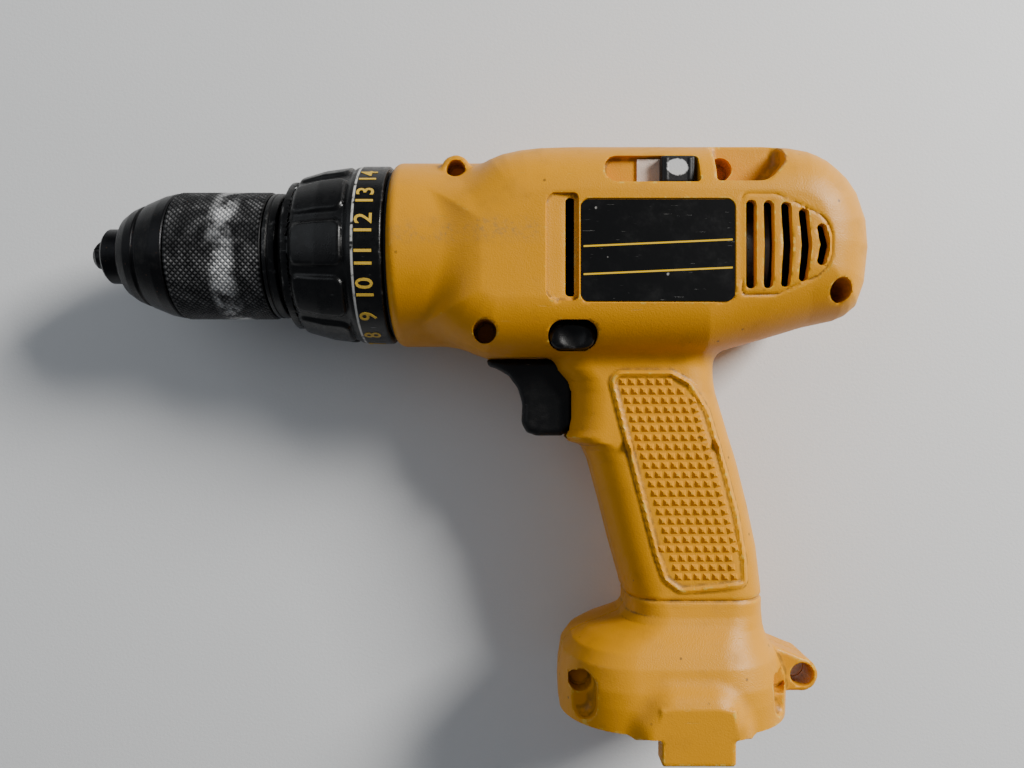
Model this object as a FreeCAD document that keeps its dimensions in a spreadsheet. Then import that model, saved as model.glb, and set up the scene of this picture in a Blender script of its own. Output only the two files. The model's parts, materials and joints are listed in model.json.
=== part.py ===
import FreeCAD, Part
import math
import os

import Sketcher

# Pistol-grip cordless drill, lying on its right side: chuck towards -X, top towards +Y, left side up (+Z).
# Every shape is drawn in the spindle's own frame (x = 0 at the front of the gear housing, y = z = 0 on the
# spindle axis, z = 0 on the parting plane) and is then moved so that the origin is under the middle of the box.

SIZES = (
    # --- clamshell housing
    ("barrel_radius", 30.6, "outside radius of the gear housing"),
    ("barrel_end", 34.0, "where the round gear housing runs into the motor housing"),
    ("case_front", 20.0, "front of the motor housing"),
    ("case_rear", 153.0, "rear end of the motor housing"),
    ("case_top", 33.4, "top of the motor housing above the spindle axis"),
    ("case_drop", 34.7, "underside of the motor housing below the axis"),
    ("half_width", 33.0, "half the width of the motor housing and of the base"),
    ("wall", 3.0, "housing wall"),
    ("case_corner", 20.0, "rounding along the motor housing"),
    ("rear_corner", 32.0, "rounding at the top of the rear end"),
    # --- handle
    ("grip_top", -30.0, "height where the handle leaves the motor housing"),
    ("grip_end", -117.0, "height where the handle meets the base"),
    ("grip_top_front", 55.0, "front edge at the top"),
    ("grip_top_rear", 105.0, "rear edge at the top"),
    ("grip_end_front", 77.0, "front edge at the bottom"),
    ("grip_end_rear", 121.0, "rear edge at the bottom"),
    ("grip_half", 18.0, "half the thickness of the handle"),
    ("grip_corner", 13.0, "rounding along the handle"),
    # --- base
    ("base_front", 54.3, "front of the base"),
    ("base_back", 129.0, "back of the base"),
    ("base_shoulder", -134.0, "height where the base reaches its full outline"),
    ("base_rim", -150.0, "open rim of the base"),
    ("base_corner", 24.0, "rounding of the base outline"),
    ("tab_front", 83.6, "front of the battery tabs"),
    ("tab_back", 105.9, "back of the battery tabs"),
    ("tab_end", -158.0, "lower end of the battery tabs"),
    ("tab_thick", 8.0, "thickness of the battery tabs"),
    ("lug_x", 133.9, "strap hole, along the drill"),
    ("lug_y", -138.7, "strap hole, height"),
    ("lug_bore", 3.9, "strap hole radius"),
    ("lug_rim", 5.3, "strap lug outside radius"),
    ("lug_half", 9.5, "half the thickness of the strap lug"),
    # --- screws
    ("screw_radius", 1.7, "screw shank"),
    ("screw_head", 3.4, "screw head radius"),
    ("screw_head_thick", 2.6, "screw head thickness"),
    ("screw_seat", 8.0, "height of the head seats above the parting plane"),
    ("screw_reach", 16.0, "depth of the screw tips below the parting plane"),
    ("pocket_radius", 3.8, "screw pocket radius"),
    ("boss_wall", 1.6, "wall around a screw pocket"),
    # --- openings in the housing
    ("vent_slot", 2.8, "width of a vent slot"),
    ("vent_pitch", 5.2, "spacing of the rear vent slots"),
    ("vent_first", 110.1, "middle of the first rear vent slot"),
    ("vent_middle", -1.3, "height of the middle of the vent slots"),
    ("vent_half", 13.2, "half the height of the rear vents"),
    ("slit_x", 56.5, "middle of the fan slit"),
    ("slit_low", -16.9, "lower end of the fan slit"),
    ("slit_high", 12.7, "upper end of the fan slit"),
    ("label_front", 59.5, "front of the label"),
    ("label_back", 105.4, "back of the label"),
    ("label_low", -18.4, "lower edge of the label"),
    ("label_high", 12.0, "upper edge of the label"),
    ("label_thick", 0.5, "thickness of the label"),
    ("label_recess", 0.9, "depth of the label panel"),
    ("label_round", 2.2, "label corner rounding"),
    # --- clutch
    ("ring_front", -35.4, "front of the clutch ring"),
    ("ring_rear", -1.0, "rear of the clutch ring"),
    ("ring_front_radius", 19.8, "clutch ring radius at its front"),
    ("ring_radius", 29.8, "clutch ring radius at the number band"),
    ("ring_bore", 24.4, "inside radius of the clutch ring"),
    ("ring_wall_x", -33.4, "front wall of the clutch ring"),
    ("ring_web", 2.0, "thickness of that wall"),
    ("pad_count", 10.0, "finger pads around the clutch ring"),
    ("nut_rest_x", -20.0, "front of the clutch nut when fully screwed in"),
    ("nut_thick", 4.0, "thickness of the clutch nut"),
    ("clutch_wire", 2.0, "wire of the clutch spring"),
    ("clutch_coil", 18.4, "mean radius of the clutch spring"),
    ("washer_x", -6.0, "front of the clutch washer"),
    ("washer_thick", 1.6, "thickness of the clutch washer"),
    ("pin_radius", 1.7, "clutch pin radius"),
    ("pin_circle", 18.5, "radius of the circle of clutch pins"),
    # --- gear case and gears
    ("nose_radius", 14.0, "outside radius of the gear case nose"),
    ("nose_front", -35.0, "front of the nose"),
    ("bearing_radius", 10.4, "outside radius of the spindle bearings"),
    ("spindle_radius", 6.0, "spindle radius"),
    ("flange_radius", 27.4, "radius of the gear case flange"),
    ("gear_case_wall", 2.0, "wall of the gear case"),
    ("gear_ring_radius", 20.4, "outside radius of the ring gears"),
    ("gear_module", 0.75, "size of the gear teeth"),
    ("sun_teeth", 18.0, "teeth of each sun gear"),
    ("planet_teeth", 15.0, "teeth of each planet gear"),
    ("backlash", 0.16, "play between the teeth, on the pitch circle"),
    ("gear_width", 6.6, "width of a planet gear"),
    ("shift_lead", 2.0, "how far the shifting ring gear stands in front of its planets"),
    ("stage_pitch", 12.6, "spacing of the gear stages along the axis"),
    ("stage_start", 6.8, "front of the output stage's planets"),
    ("carrier_radius", 16.2, "radius of the planet carriers"),
    ("carrier_thick", 2.6, "thickness of the planet carriers"),
    ("planet_pin", 2.0, "planet pin radius"),
    ("gear_gap", 0.4, "room along the axis between gears and plates"),
    ("run_fit", 0.06, "radial play of turning fits"),
    ("clear_gap", 0.3, "gap between pieces that pass each other"),
    ("shift_travel", 4.0, "travel of the shifting ring gear"),
    ("selector_travel", 10.0, "travel of the speed selector"),
    ("shift_angle", 40.0, "where the shift rod lies, degrees from the top towards the left side"),
    ("shift_rod_circle", 25.5, "distance of the shift rod from the spindle axis"),
    ("shift_rod", 1.0, "shift rod radius"),
    # --- motor
    ("shaft_radius", 2.5, "motor shaft radius"),
    ("mount_x", 43.4, "front of the motor mounting plate"),
    ("mount_thick", 6.0, "thickness of the motor mounting plate"),
    ("mount_radius", 24.0, "radius of the motor mounting plate"),
    ("fan_x", 51.0, "front of the cooling fan"),
    ("fan_width", 8.0, "width of the cooling fan"),
    ("fan_radius", 22.4, "radius of the cooling fan"),
    ("fan_blades", 14.0, "blades of the cooling fan"),
    ("can_front", 61.0, "front of the motor can"),
    ("can_rear", 119.0, "rear of the motor can"),
    ("can_radius", 23.0, "outside radius of the motor can"),
    ("can_wall", 2.0, "wall of the motor can"),
    ("core_front", 74.0, "front of the armature core"),
    ("core_rear", 108.0, "rear of the armature core"),
    ("core_radius", 15.2, "radius of the armature core"),
    ("core_slots", 12.0, "slots of the armature"),
    ("magnet_gap", 0.7, "air gap between armature and magnets"),
    ("commutator_x", 117.0, "front of the commutator"),
    ("commutator_length", 10.0, "length of the commutator"),
    ("commutator_radius", 8.0, "commutator radius"),
    ("bell_rear", 134.5, "rear of the motor's end bell"),
    ("motor_bearing", 8.0, "outside radius of the motor bearings"),
    ("motor_bearing_width", 5.0, "width of the motor bearings"),
    ("brush_width", 5.0, "width of a carbon brush"),
    # --- chuck
    ("jaw_tip", -102.0, "front end of the closed jaws"),
    ("jaw_radius", 3.6, "jaw radius"),
    ("jaw_length", 42.0, "jaw length"),
    ("jaw_angle", 15.0, "slope of the jaws, degrees"),
    ("jaw_offset", 0.9, "distance of the jaw's centre line from the axis at its tip"),
    ("jaw_play", 0.06, "play of the jaws in their bores"),
    ("jaw_split", 0.25, "distance of the gripping edges from the axis when closed"),
    ("nose_tip", -97.3, "front of the chuck body"),
    ("nose_tip_radius", 9.2, "radius of the chuck's nose"),
    ("hood_front", -91.6, "front of the chuck hood"),
    ("hood_rear", -71.8, "rear of the chuck hood"),
    ("sleeve_front", -71.5, "front of the knurled sleeve"),
    ("sleeve_rear", -40.8, "rear of the knurled sleeve"),
    ("sleeve_radius", 21.3, "radius over the knurl"),
    ("sleeve_bore", 19.4, "bore of the knurled sleeve"),
    ("collar_radius", 21.1, "radius of the rear collar"),
    ("chuck_rear", -35.8, "rear of the chuck"),
    ("nut_front", -77.0, "front of the jaw nut"),
    ("nut_back", -70.0, "rear of the jaw nut"),
    ("nut_radius", 16.9, "outside radius of the jaw nut"),
    ("chuck_bore", 6.2, "bore of the chuck"),
    ("spindle_front", -59.0, "front of the spindle"),
    # --- trigger, switch and buttons
    ("trigger_half", 9.0, "half the width of the trigger"),
    ("trigger_travel", 6.0, "travel of the trigger"),
    ("trigger_face", 43.2, "front face of the trigger"),
    ("trigger_low", -60.9, "lower edge of the trigger"),
    ("trigger_back", 60.0, "rear of the trigger"),
    ("notch_back", 58.8, "rear of the trigger opening"),
    ("notch_low", -61.6, "lower edge of the trigger opening"),
    ("switch_front", 70.0, "front of the switch"),
    ("switch_back", 93.0, "rear of the switch"),
    ("switch_top", -37.5, "top of the switch"),
    ("switch_low", -62.0, "underside of the switch"),
    ("switch_half", 11.0, "half the width of the switch"),
    ("plunger", 2.5, "plunger radius"),
    ("trigger_wire", 0.8, "wire of the trigger spring"),
    ("trigger_coil", 4.4, "mean radius of the trigger spring"),
    ("button_x", 57.4, "middle of the direction button"),
    ("button_y", -28.5, "height of the direction button"),
    ("button_long", 14.6, "length of the direction button"),
    ("button_wide", 8.3, "width of the direction button"),
    ("button_travel", 6.0, "travel of the direction button"),
    ("slot_front", 67.7, "front of the selector slot"),
    ("slot_back", 94.7, "rear of the selector slot"),
    ("slot_low", 19.2, "lower edge of the selector slot"),
    ("slot_high", 28.2, "upper edge of the selector slot"),
    ("plate_z", 20.2, "underside of the selector plate"),
    ("plate_thick", 1.6, "thickness of the selector plate"),
    ("knob_top", 29.6, "top of the selector knob"),
    ("knob_long", 11.6, "length of the selector knob"),
    # --- battery connection and wiring
    ("block_front", 86.0, "front of the terminal block"),
    ("block_back", 110.0, "rear of the terminal block"),
    ("block_top", -98.0, "top of the terminal block"),
    ("block_low", -111.0, "underside of the terminal block"),
    ("block_half", 12.0, "half the width of the terminal block"),
    ("blade_length", 14.0, "length of the battery contacts"),
    ("wire_radius", 1.2, "radius of the insulated leads"),
)

SCREWS = ((20.9, 25.6), (30.4, -27.1), (106.2, 26.6), (139.2, -14.6), (60.5, -137.6), (124.0, -138.4))

X_AXIS = FreeCAD.Vector(1, 0, 0)
Z_AXIS = FreeCAD.Vector(0, 0, 1)


class Size:
    """A length that knows its number and the spreadsheet expression it comes from."""

    def __init__(self, value, text=None):
        self.value = float(value)
        self.text = text if text is not None else repr(float(value))

    @staticmethod
    def of(other):
        return other if isinstance(other, Size) else Size(other)

    def join(self, sign, other, value):
        return Size(value, "(" + self.text + " " + sign + " " + other.text + ")")

    def __add__(self, other):
        other = Size.of(other)
        return self.join("+", other, self.value + other.value)

    def __sub__(self, other):
        other = Size.of(other)
        return self.join("-", other, self.value - other.value)

    def __mul__(self, other):
        other = Size.of(other)
        return self.join("*", other, self.value * other.value)

    def __truediv__(self, other):
        other = Size.of(other)
        return self.join("/", other, self.value / other.value)

    def __radd__(self, other):
        return Size.of(other) + self

    def __rsub__(self, other):
        return Size.of(other) - self

    def __rmul__(self, other):
        return Size.of(other) * self

    def __neg__(self):
        return Size(0) - self


def cosine(angle):
    return Size(math.cos(math.radians(angle.value)), "cos(" + angle.text + ")")


def sine(angle):
    return Size(math.sin(math.radians(angle.value)), "sin(" + angle.text + ")")


def tangent(angle):
    return Size(math.tan(math.radians(angle.value)), "tan(" + angle.text + ")")


class Sheet:
    """The spreadsheet of driving dimensions; each alias reads back as a Size."""

    def __init__(self, doc):
        cells = doc.addObject("Spreadsheet::Sheet", "Sizes")
        for row, (alias, value, note) in enumerate(SIZES, start=1):
            cells.set("A%d" % row, note)
            cells.set("B%d" % row, str(value))
            cells.setAlias("B%d" % row, alias)
            setattr(self, alias, Size(value, "Sizes." + alias))


doc = FreeCAD.newDocument("CordlessDrill")
s = Sheet(doc)
doc.recompute()
ORIGIN_SHIFT = {
    "x": -(s.jaw_tip + s.case_rear) / 2,
    "y": -(s.case_top + s.tab_end) / 2,
    "z": s.half_width,
}
parts = []
names = iter(range(100000))


def bind(thing, **sizes):
    """Set each property of an object to a Size's expression; Base_x stands for Placement.Base.x."""
    for key, size in sizes.items():
        path = key.replace("Base_", "Placement.Base.").replace("Offset_", "AttachmentOffset.Base.")
        thing.setExpression(path, Size.of(size).text)
    return thing


def make(kind, name="shape"):
    return doc.addObject(kind, "%s_%d" % (name, next(names)))


def finish(name, thing):
    """Name a finished sub-part and move it from the spindle's frame to the drill's own frame."""
    if thing.TypeId != "PartDesign::Body":
        wrap = make("Part::Compound", name)
        wrap.Links = [thing]
        thing = wrap
    thing.Label = name
    bind(thing, Base_x=ORIGIN_SHIFT["x"], Base_y=ORIGIN_SHIFT["y"], Base_z=ORIGIN_SHIFT["z"])
    parts.append(thing)
    return thing


def finish_solid(name, shape):
    """Name a sub-part whose shape is made by formula, and move it to the drill's own frame."""
    thing = doc.addObject("Part::Feature", name)
    thing.Shape = Part.makeCompound([shape])
    thing.Label = name
    bind(thing, Base_x=ORIGIN_SHIFT["x"], Base_y=ORIGIN_SHIFT["y"], Base_z=ORIGIN_SHIFT["z"])
    parts.append(thing)
    return thing


# ---------------------------------------------------------------- sketches
def corner_turn(before, here, after):
    """Unit directions into and out of a corner, and the signed turn between them."""
    into = (here - before).normalize()
    out = (after - here).normalize()
    turn = math.atan2(into.x * out.y - into.y * out.x, into.dot(out))
    return into, out, turn


def sketch_outline(sketch, corners):
    """Draw a closed outline from corners (across, up) or (across, up, rounding), all bound to the sheet."""
    spots = [FreeCAD.Vector(Size.of(c[0]).value, Size.of(c[1]).value, 0) for c in corners]
    count = len(corners)
    starts, ends, arcs = [], [], {}
    for i, corner in enumerate(corners):
        here = spots[i]
        into, out, turn = corner_turn(spots[i - 1], here, spots[(i + 1) % count])
        if len(corner) < 3:
            starts.append(here)
            ends.append(here)
            continue
        rounding = Size.of(corner[2])
        back = rounding.value * abs(math.tan(turn / 2))
        first, last = here - into * back, here + out * back
        side = 1 if turn > 0 else -1
        centre = first + FreeCAD.Vector(-into.y, into.x, 0) * rounding.value * side
        angle_a = math.atan2(first.y - centre.y, first.x - centre.x)
        angle_b = math.atan2(last.y - centre.y, last.x - centre.x)
        low, high = (angle_a, angle_b) if side > 0 else (angle_b, angle_a)
        circle = Part.Circle(centre, Z_AXIS, rounding.value)
        starts.append(last)
        ends.append(first)
        arcs[i] = (Part.ArcOfCircle(circle, low, high), side, rounding)
    lines = [sketch.addGeometry(Part.LineSegment(starts[i], ends[(i + 1) % count]), False) for i in range(count)]
    for i, corner in enumerate(corners):
        across, up = Size.of(corner[0]), Size.of(corner[1])
        before, after = lines[i - 1], lines[i]
        if i in arcs:
            arc, side, rounding = arcs[i]
            arc_id = sketch.addGeometry(arc, False)
            entry, leave = (1, 2) if side > 0 else (2, 1)
            sketch.addConstraint(Sketcher.Constraint("Tangent", before, 2, arc_id, entry))
            sketch.addConstraint(Sketcher.Constraint("Tangent", arc_id, leave, after, 1))
            radius = sketch.addConstraint(Sketcher.Constraint("Radius", arc_id, rounding.value))
            sketch.setExpression("Constraints[%d]" % radius, rounding.text)
            point = sketch.addGeometry(Part.Point(spots[i]), True)
            sketch.addConstraint(Sketcher.Constraint("PointOnObject", point, 1, before))
            sketch.addConstraint(Sketcher.Constraint("PointOnObject", point, 1, after))
        else:
            point = after
            sketch.addConstraint(Sketcher.Constraint("Coincident", before, 2, after, 1))
        for kind, size in (("DistanceX", across), ("DistanceY", up)):
            held = sketch.addConstraint(Sketcher.Constraint(kind, -1, 1, point, 1, size.value))
            sketch.setExpression("Constraints[%d]" % held, size.text)


def new_sketch(body, role, corners, offset=None):
    sketch = body.newObject("Sketcher::SketchObject", "sketch_%d" % next(names))
    plane = [feature for feature in body.Origin.OriginFeatures if feature.Role == role][0]
    sketch.AttachmentSupport = [(plane, "")]
    sketch.MapMode = "FlatFace"
    if offset is not None:
        bind(sketch, Offset_z=offset)
    sketch_outline(sketch, corners)
    return sketch


def prism(role, corners, low, high, name="prism"):
    """Pad an outline between two heights above its plane."""
    body = make("PartDesign::Body", name)
    sketch = new_sketch(body, role, corners, low)
    pad = body.newObject("PartDesign::Pad", "pad_%d" % next(names))
    pad.Profile = sketch
    bind(pad, Length=high - low)
    doc.recompute()
    return body


def turned(corners, name="turned"):
    """Turn an outline of (along the axis, radius) corners about the spindle axis."""
    body = make("PartDesign::Body", name)
    sketch = new_sketch(body, "XY_Plane", corners)
    turn = body.newObject("PartDesign::Revolution", "turn_%d" % next(names))
    turn.Profile = sketch
    axis = [feature for feature in body.Origin.OriginFeatures if feature.Role == "X_Axis"][0]
    turn.ReferenceAxis = (axis, [""])
    turn.Angle = 360
    doc.recompute()
    return body


def loft(role, lower, lower_at, upper, upper_at, name="loft"):
    """Loft between two outlines at two heights above their plane."""
    body = make("PartDesign::Body", name)
    first = new_sketch(body, role, lower, lower_at)
    second = new_sketch(body, role, upper, upper_at)
    shape = body.newObject("PartDesign::AdditiveLoft", "loft_%d" % next(names))
    shape.Profile = first
    shape.Sections = [second]
    shape.Ruled = True
    doc.recompute()
    return body


def tube_profile(front, rear, inner, outer):
    return [(front, inner), (rear, inner), (rear, outer), (front, outer)]


def rectangle(left, right, low, high, rounding=None):
    spots = [(left, low), (right, low), (right, high), (left, high)]
    return spots if rounding is None else [spot + (rounding,) for spot in spots]


# ---------------------------------------------------------------- primitives and booleans
def rod(front, rear, radius, y=0, z=0):
    """A cylinder along the spindle axis."""
    shape = make("Part::Cylinder", "rod")
    shape.Placement.Rotation = FreeCAD.Rotation(FreeCAD.Vector(0, 1, 0), 90)
    return bind(shape, Radius=radius, Height=rear - front, Base_x=front, Base_y=y, Base_z=z)


def post(x, y, low, high, radius):
    """A cylinder across the drill, along Z."""
    shape = make("Part::Cylinder", "post")
    return bind(shape, Radius=radius, Height=high - low, Base_x=x, Base_y=y, Base_z=low)


def block(x, y, z):
    """A box from three (low, high) pairs."""
    shape = make("Part::Box", "block")
    low = {"x": Size.of(x[0]), "y": Size.of(y[0]), "z": Size.of(z[0])}
    bind(shape, Length=x[1] - low["x"], Width=y[1] - low["y"], Height=z[1] - low["z"])
    return bind(shape, Base_x=low["x"], Base_y=low["y"], Base_z=low["z"])


def turn_about_axis(thing, degrees):
    """A copy holder that turns a shape about the spindle axis."""
    holder = make("Part::Compound", "turned_copy")
    holder.Links = [thing]
    holder.Placement.Rotation = FreeCAD.Rotation(X_AXIS, degrees)
    return holder


def ring_of(thing, count, start=0.0):
    """Equal copies of a shape around the spindle axis, as a list."""
    return [turn_about_axis(thing, start + 360.0 * k / count) for k in range(count)]


def fuse(*things):
    shape = make("Part::MultiFuse", "fuse")
    shape.Shapes = list(things)
    return shape


def group(*things):
    shape = make("Part::Compound", "group")
    shape.Links = list(things)
    return shape


def common(*things):
    shape = make("Part::MultiCommon", "common")
    shape.Shapes = list(things)
    return shape


def cut(base, *tools):
    shape = make("Part::Cut", "cut")
    shape.Base = base
    shape.Tool = tools[0] if len(tools) == 1 else fuse(*tools)
    return shape


# ---------------------------------------------------------------- clamshell housing
def case_form(inset):
    """The motor housing: its side, end and top outlines pulled out and cut against each other."""
    low, high = -s.case_drop + inset, s.case_top - inset
    side = prism("XY_Plane", [
        (s.case_front + inset, -s.barrel_radius + inset),
        (s.case_front + 8 + inset, low),
        (s.grip_top_rear + 7, low + 1.4),
        (s.case_rear - 22, low + 9),
        (s.case_rear - inset, low + 16, 8),
        (s.case_rear - inset, high, s.rear_corner - inset),
        (s.case_front + 22, high, 10),
        (s.case_front + inset, s.barrel_radius - 2 - inset),
    ], -s.half_width + inset, s.half_width - inset, "case_side")
    half = s.half_width - inset
    ends = prism("YZ_Plane", rectangle(low, high, -half, half, s.case_corner - inset),
                 s.case_front, s.case_rear, "case_end")
    top = prism("XZ_Plane", [
        (s.case_front + inset, -s.barrel_radius + inset),
        (s.barrel_end + 20, -half),
        (s.case_rear - inset, -half, 22),
        (s.case_rear - inset, half, 22),
        (s.barrel_end + 20, half),
        (s.case_front + inset, s.barrel_radius - inset),
    ], -s.case_top, s.case_drop, "case_top")
    return common(side, ends, top)


def handle_form(inset):
    """The leaning handle, a loft between a wider top and a narrower bottom."""
    half = s.grip_half - inset
    corner = s.grip_corner - inset
    upper = rectangle(s.grip_top_front + inset, s.grip_top_rear - inset, -half, half, corner)
    lower = rectangle(s.grip_end_front + inset, s.grip_end_rear - inset, -half, half, corner)
    return loft("XZ_Plane", upper, -s.grip_top, lower, -s.grip_end, "handle")


def base_form(inset, open_end):
    """The flared base and its skirt down to the open rim."""
    half = s.half_width - inset
    grip = s.grip_half - inset
    plan = rectangle(s.base_front + inset, s.base_back - inset, -half, half, s.base_corner - inset)
    neck = rectangle(s.grip_end_front + inset, s.grip_end_rear - inset, -grip, grip, s.grip_corner - inset)
    flare = loft("XZ_Plane", neck, -s.grip_end, plan, -s.base_shoulder + inset, "base_flare")
    skirt = prism("XZ_Plane", plan, -s.base_shoulder + inset, -s.base_rim + open_end, "base_skirt")
    return fuse(flare, skirt)


def trigger_notch():
    """The opening in front of the handle that the trigger fills."""
    return prism("XY_Plane", [
        (s.case_front, -s.case_drop - 0.1),
        (s.notch_back - 10, -s.case_drop - 0.1),
        (s.notch_back, -s.case_drop - 9, 5),
        (s.notch_back, s.notch_low + 5, 4),
        (s.notch_back - 3, s.notch_low),
        (s.case_front, s.notch_low),
    ], -s.half_width, s.half_width, "notch")


def screw_bosses(form):
    """Tubes from the screw pockets down to the far half, trimmed to the outer form."""
    tubes = [post(x, y, -s.half_width, s.half_width, s.pocket_radius + s.boss_wall) for x, y in SCREWS]
    return common(fuse(*tubes), form)


def screw_bores():
    """Pockets for the heads, clearance for the shanks and pilot bores in the far half."""
    cuts = []
    for x, y in SCREWS:
        cuts.append(post(x, y, s.screw_seat, s.half_width + 1, s.pocket_radius))
        cuts.append(post(x, y, -s.screw_reach, s.screw_seat, s.screw_radius))
    return cuts


def ribs(form):
    """Plates across the housing that cradle the gear case and the motor."""
    places = (8.0, 38.0, s.mount_x + 1, s.can_front + 6, s.can_rear - 14, s.bell_rear - 5)
    plates = [block((x, Size.of(x) + 2), (s.grip_top, s.case_top), (-s.half_width, s.half_width)) for x in places]
    return common(fuse(*plates), form)


def drive_space():
    """Room for the gear case, mounting plate, fan and motor inside the ribs."""
    return [
        rod(-1, s.mount_x, gear_case_radius()),
        rod(s.ring_rear, 2.4, s.flange_radius),
        rod(s.mount_x, s.mount_x + s.mount_thick, s.mount_radius),
        rod(s.mount_x + s.mount_thick, s.can_front, s.fan_radius + 2),
        rod(s.can_front, s.bell_rear, s.can_radius),
        block((s.can_rear - 20, s.bell_rear + 8), (-s.can_radius - 6, -s.can_radius + 4), (-7, 7)),
    ]


def gear_case_radius():
    return s.gear_ring_radius + s.gear_case_wall


def selector_space():
    """The slot for the knob, the run of the plate under it, and the path of the shift rod."""
    run = block((s.slot_front - 6, s.slot_back + 2), (s.slot_low - 1.2, s.slot_high + 1.4),
                (s.plate_z - s.clear_gap - 2.6, s.plate_z + s.plate_thick + s.clear_gap))
    slot = block((s.slot_front, s.slot_back), (s.slot_low, s.slot_high), (s.plate_z, s.half_width))
    rod_y, rod_z = shift_rod_place()
    path = rod(16, s.slot_back, s.shift_rod + 1, rod_y, rod_z)
    return [run, slot, path]


def stadium(middle_x, middle_y, length, width, gap):
    """An outline with round ends, along X."""
    half, tall = length / 2 + gap, width / 2 + gap
    return rectangle(middle_x - half, middle_x + half, middle_y - tall, middle_y + tall, tall - 0.05)


def button_hole():
    outline = stadium(s.button_x, s.button_y, s.button_long, s.button_wide, s.clear_gap)
    return prism("XY_Plane", outline, -s.half_width - 1, s.half_width + 1, "button_hole")


def vents():
    """Rear slots and the fan slit, cut through both sides."""
    across = (-s.half_width - 1, s.half_width + 1)
    slots = []
    for k, share in enumerate((1.0, 1.0, 1.0, 0.9, 0.6)):
        middle = s.vent_first + s.vent_pitch * k
        half = s.vent_half * share
        heights = (s.vent_middle - half, s.vent_middle + half)
        slots.append(block((middle - s.vent_slot / 2, middle + s.vent_slot / 2), heights, across))
    slit = (s.slit_x - s.vent_slot / 2, s.slit_x + s.vent_slot / 2)
    slots.append(block(slit, (s.slit_low, s.slit_high), across))
    core = rod(s.mount_x, s.case_rear - s.wall, s.can_radius + 2)
    return cut(fuse(*slots), core)


def label_outline(gap):
    return rectangle(s.label_front - gap, s.label_back + gap, s.label_low - gap, s.label_high + gap,
                     s.label_round + gap)


def label_pockets():
    deep = s.half_width - s.label_recess
    left = prism("XY_Plane", label_outline(s.clear_gap), deep, s.half_width + 1, "label_pocket")
    right = prism("XY_Plane", label_outline(s.clear_gap), -s.half_width - 1, -deep, "label_pocket")
    return [left, right]


def battery_tabs():
    """The two tabs under the base that guide the battery's latches."""
    span = ((s.tab_front, s.tab_back), (s.tab_end, s.base_rim + 6))
    return [
        block(span[0], span[1], (s.half_width - s.tab_thick, s.half_width)),
        block(span[0], span[1], (-s.half_width, -s.half_width + s.tab_thick)),
    ]


def strap_lug():
    """The pierced lug behind the base."""
    web = block((s.lug_x - 9, s.lug_x), (s.lug_y - 3.5, s.lug_y + s.lug_rim), (-s.lug_half, s.lug_half))
    return fuse(post(s.lug_x, s.lug_y, -s.lug_half, s.lug_half, s.lug_rim), web)


def make_housing():
    """Both halves of the clamshell: outer form, hollow, bosses, ribs and every opening."""
    barrel = rod(0, s.barrel_end, s.barrel_radius)
    outside = fuse(barrel, case_form(Size(0)), cut(handle_form(Size(0)), trigger_notch()),
                   base_form(Size(0), Size(0)), strap_lug(), *battery_tabs())
    bore = rod(-1, s.barrel_end + 2, s.barrel_radius - s.wall)
    hollow = cut(fuse(bore, case_form(s.wall), handle_form(s.wall), base_form(s.wall, Size(1))),
                 *nose_wall())
    shell = cut(outside, hollow)
    inner = fuse(screw_bosses(outside), ribs(outside))
    trimmed = cut(inner, *drive_space())
    whole = fuse(shell, trimmed)
    lug_hole = post(s.lug_x, s.lug_y, -s.lug_half - 1, s.lug_half + 1, s.lug_bore)
    open_cuts = screw_bores() + selector_space() + label_pockets() + [button_hole(), vents(), lug_hole]
    open_cuts += trigger_window()
    whole = cut(whole, *open_cuts)
    left = block((s.ring_front, s.case_rear + 1), (s.tab_end - 1, s.case_top + 1), (0, s.half_width + 1))
    right = block((s.ring_front, s.case_rear + 1), (s.tab_end - 1, s.case_top + 1), (-s.half_width - 1, 0))
    finish("left_housing", common(whole, left))
    finish("right_housing", common(whole, right))


def nose_wall():
    """Wall kept behind the trigger opening, so that the handle's hollow doesn't break into it."""
    back = s.notch_back + s.wall
    return [block((s.case_front, back), (s.notch_low - s.wall, -s.case_drop + s.wall),
                  (-s.grip_half, s.grip_half))]


def trigger_window():
    """The window that the trigger slides through, and the hollow for its rear end."""
    half = s.trigger_half + s.clear_gap
    return [block((s.case_front + 8, s.trigger_back + s.trigger_travel + 1),
                  (s.trigger_low - s.clear_gap + 0.1, -s.case_drop - 0.1), (-half, half))]


def make_screws():
    """Self-tapping screws with a six-lobed recess in the head."""
    screws = []
    for x, y in SCREWS:
        head = post(x, y, s.screw_seat, s.screw_seat + s.screw_head_thick, s.screw_head)
        shank = post(x, y, -s.screw_reach + 1, s.screw_seat, s.screw_radius - 0.1)
        recess = post(x, y, s.screw_seat + 1, s.screw_seat + s.screw_head_thick + 1, 1.3)
        lobes = [post(Size(x + 1.1 * math.cos(k * math.pi / 3)), Size(y + 1.1 * math.sin(k * math.pi / 3)),
                      s.screw_seat + 1, s.screw_seat + s.screw_head_thick + 1, 0.5) for k in range(6)]
        screws.append(cut(fuse(head, shank), recess, *lobes))
    finish("housing_screws", group(*screws))


def make_labels():
    low = s.half_width - s.label_recess
    finish("label_left", prism("XY_Plane", label_outline(Size(0)), low, low + s.label_thick, "label"))
    finish("label_right", prism("XY_Plane", label_outline(Size(0)), -low - s.label_thick, -low, "label"))


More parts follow.
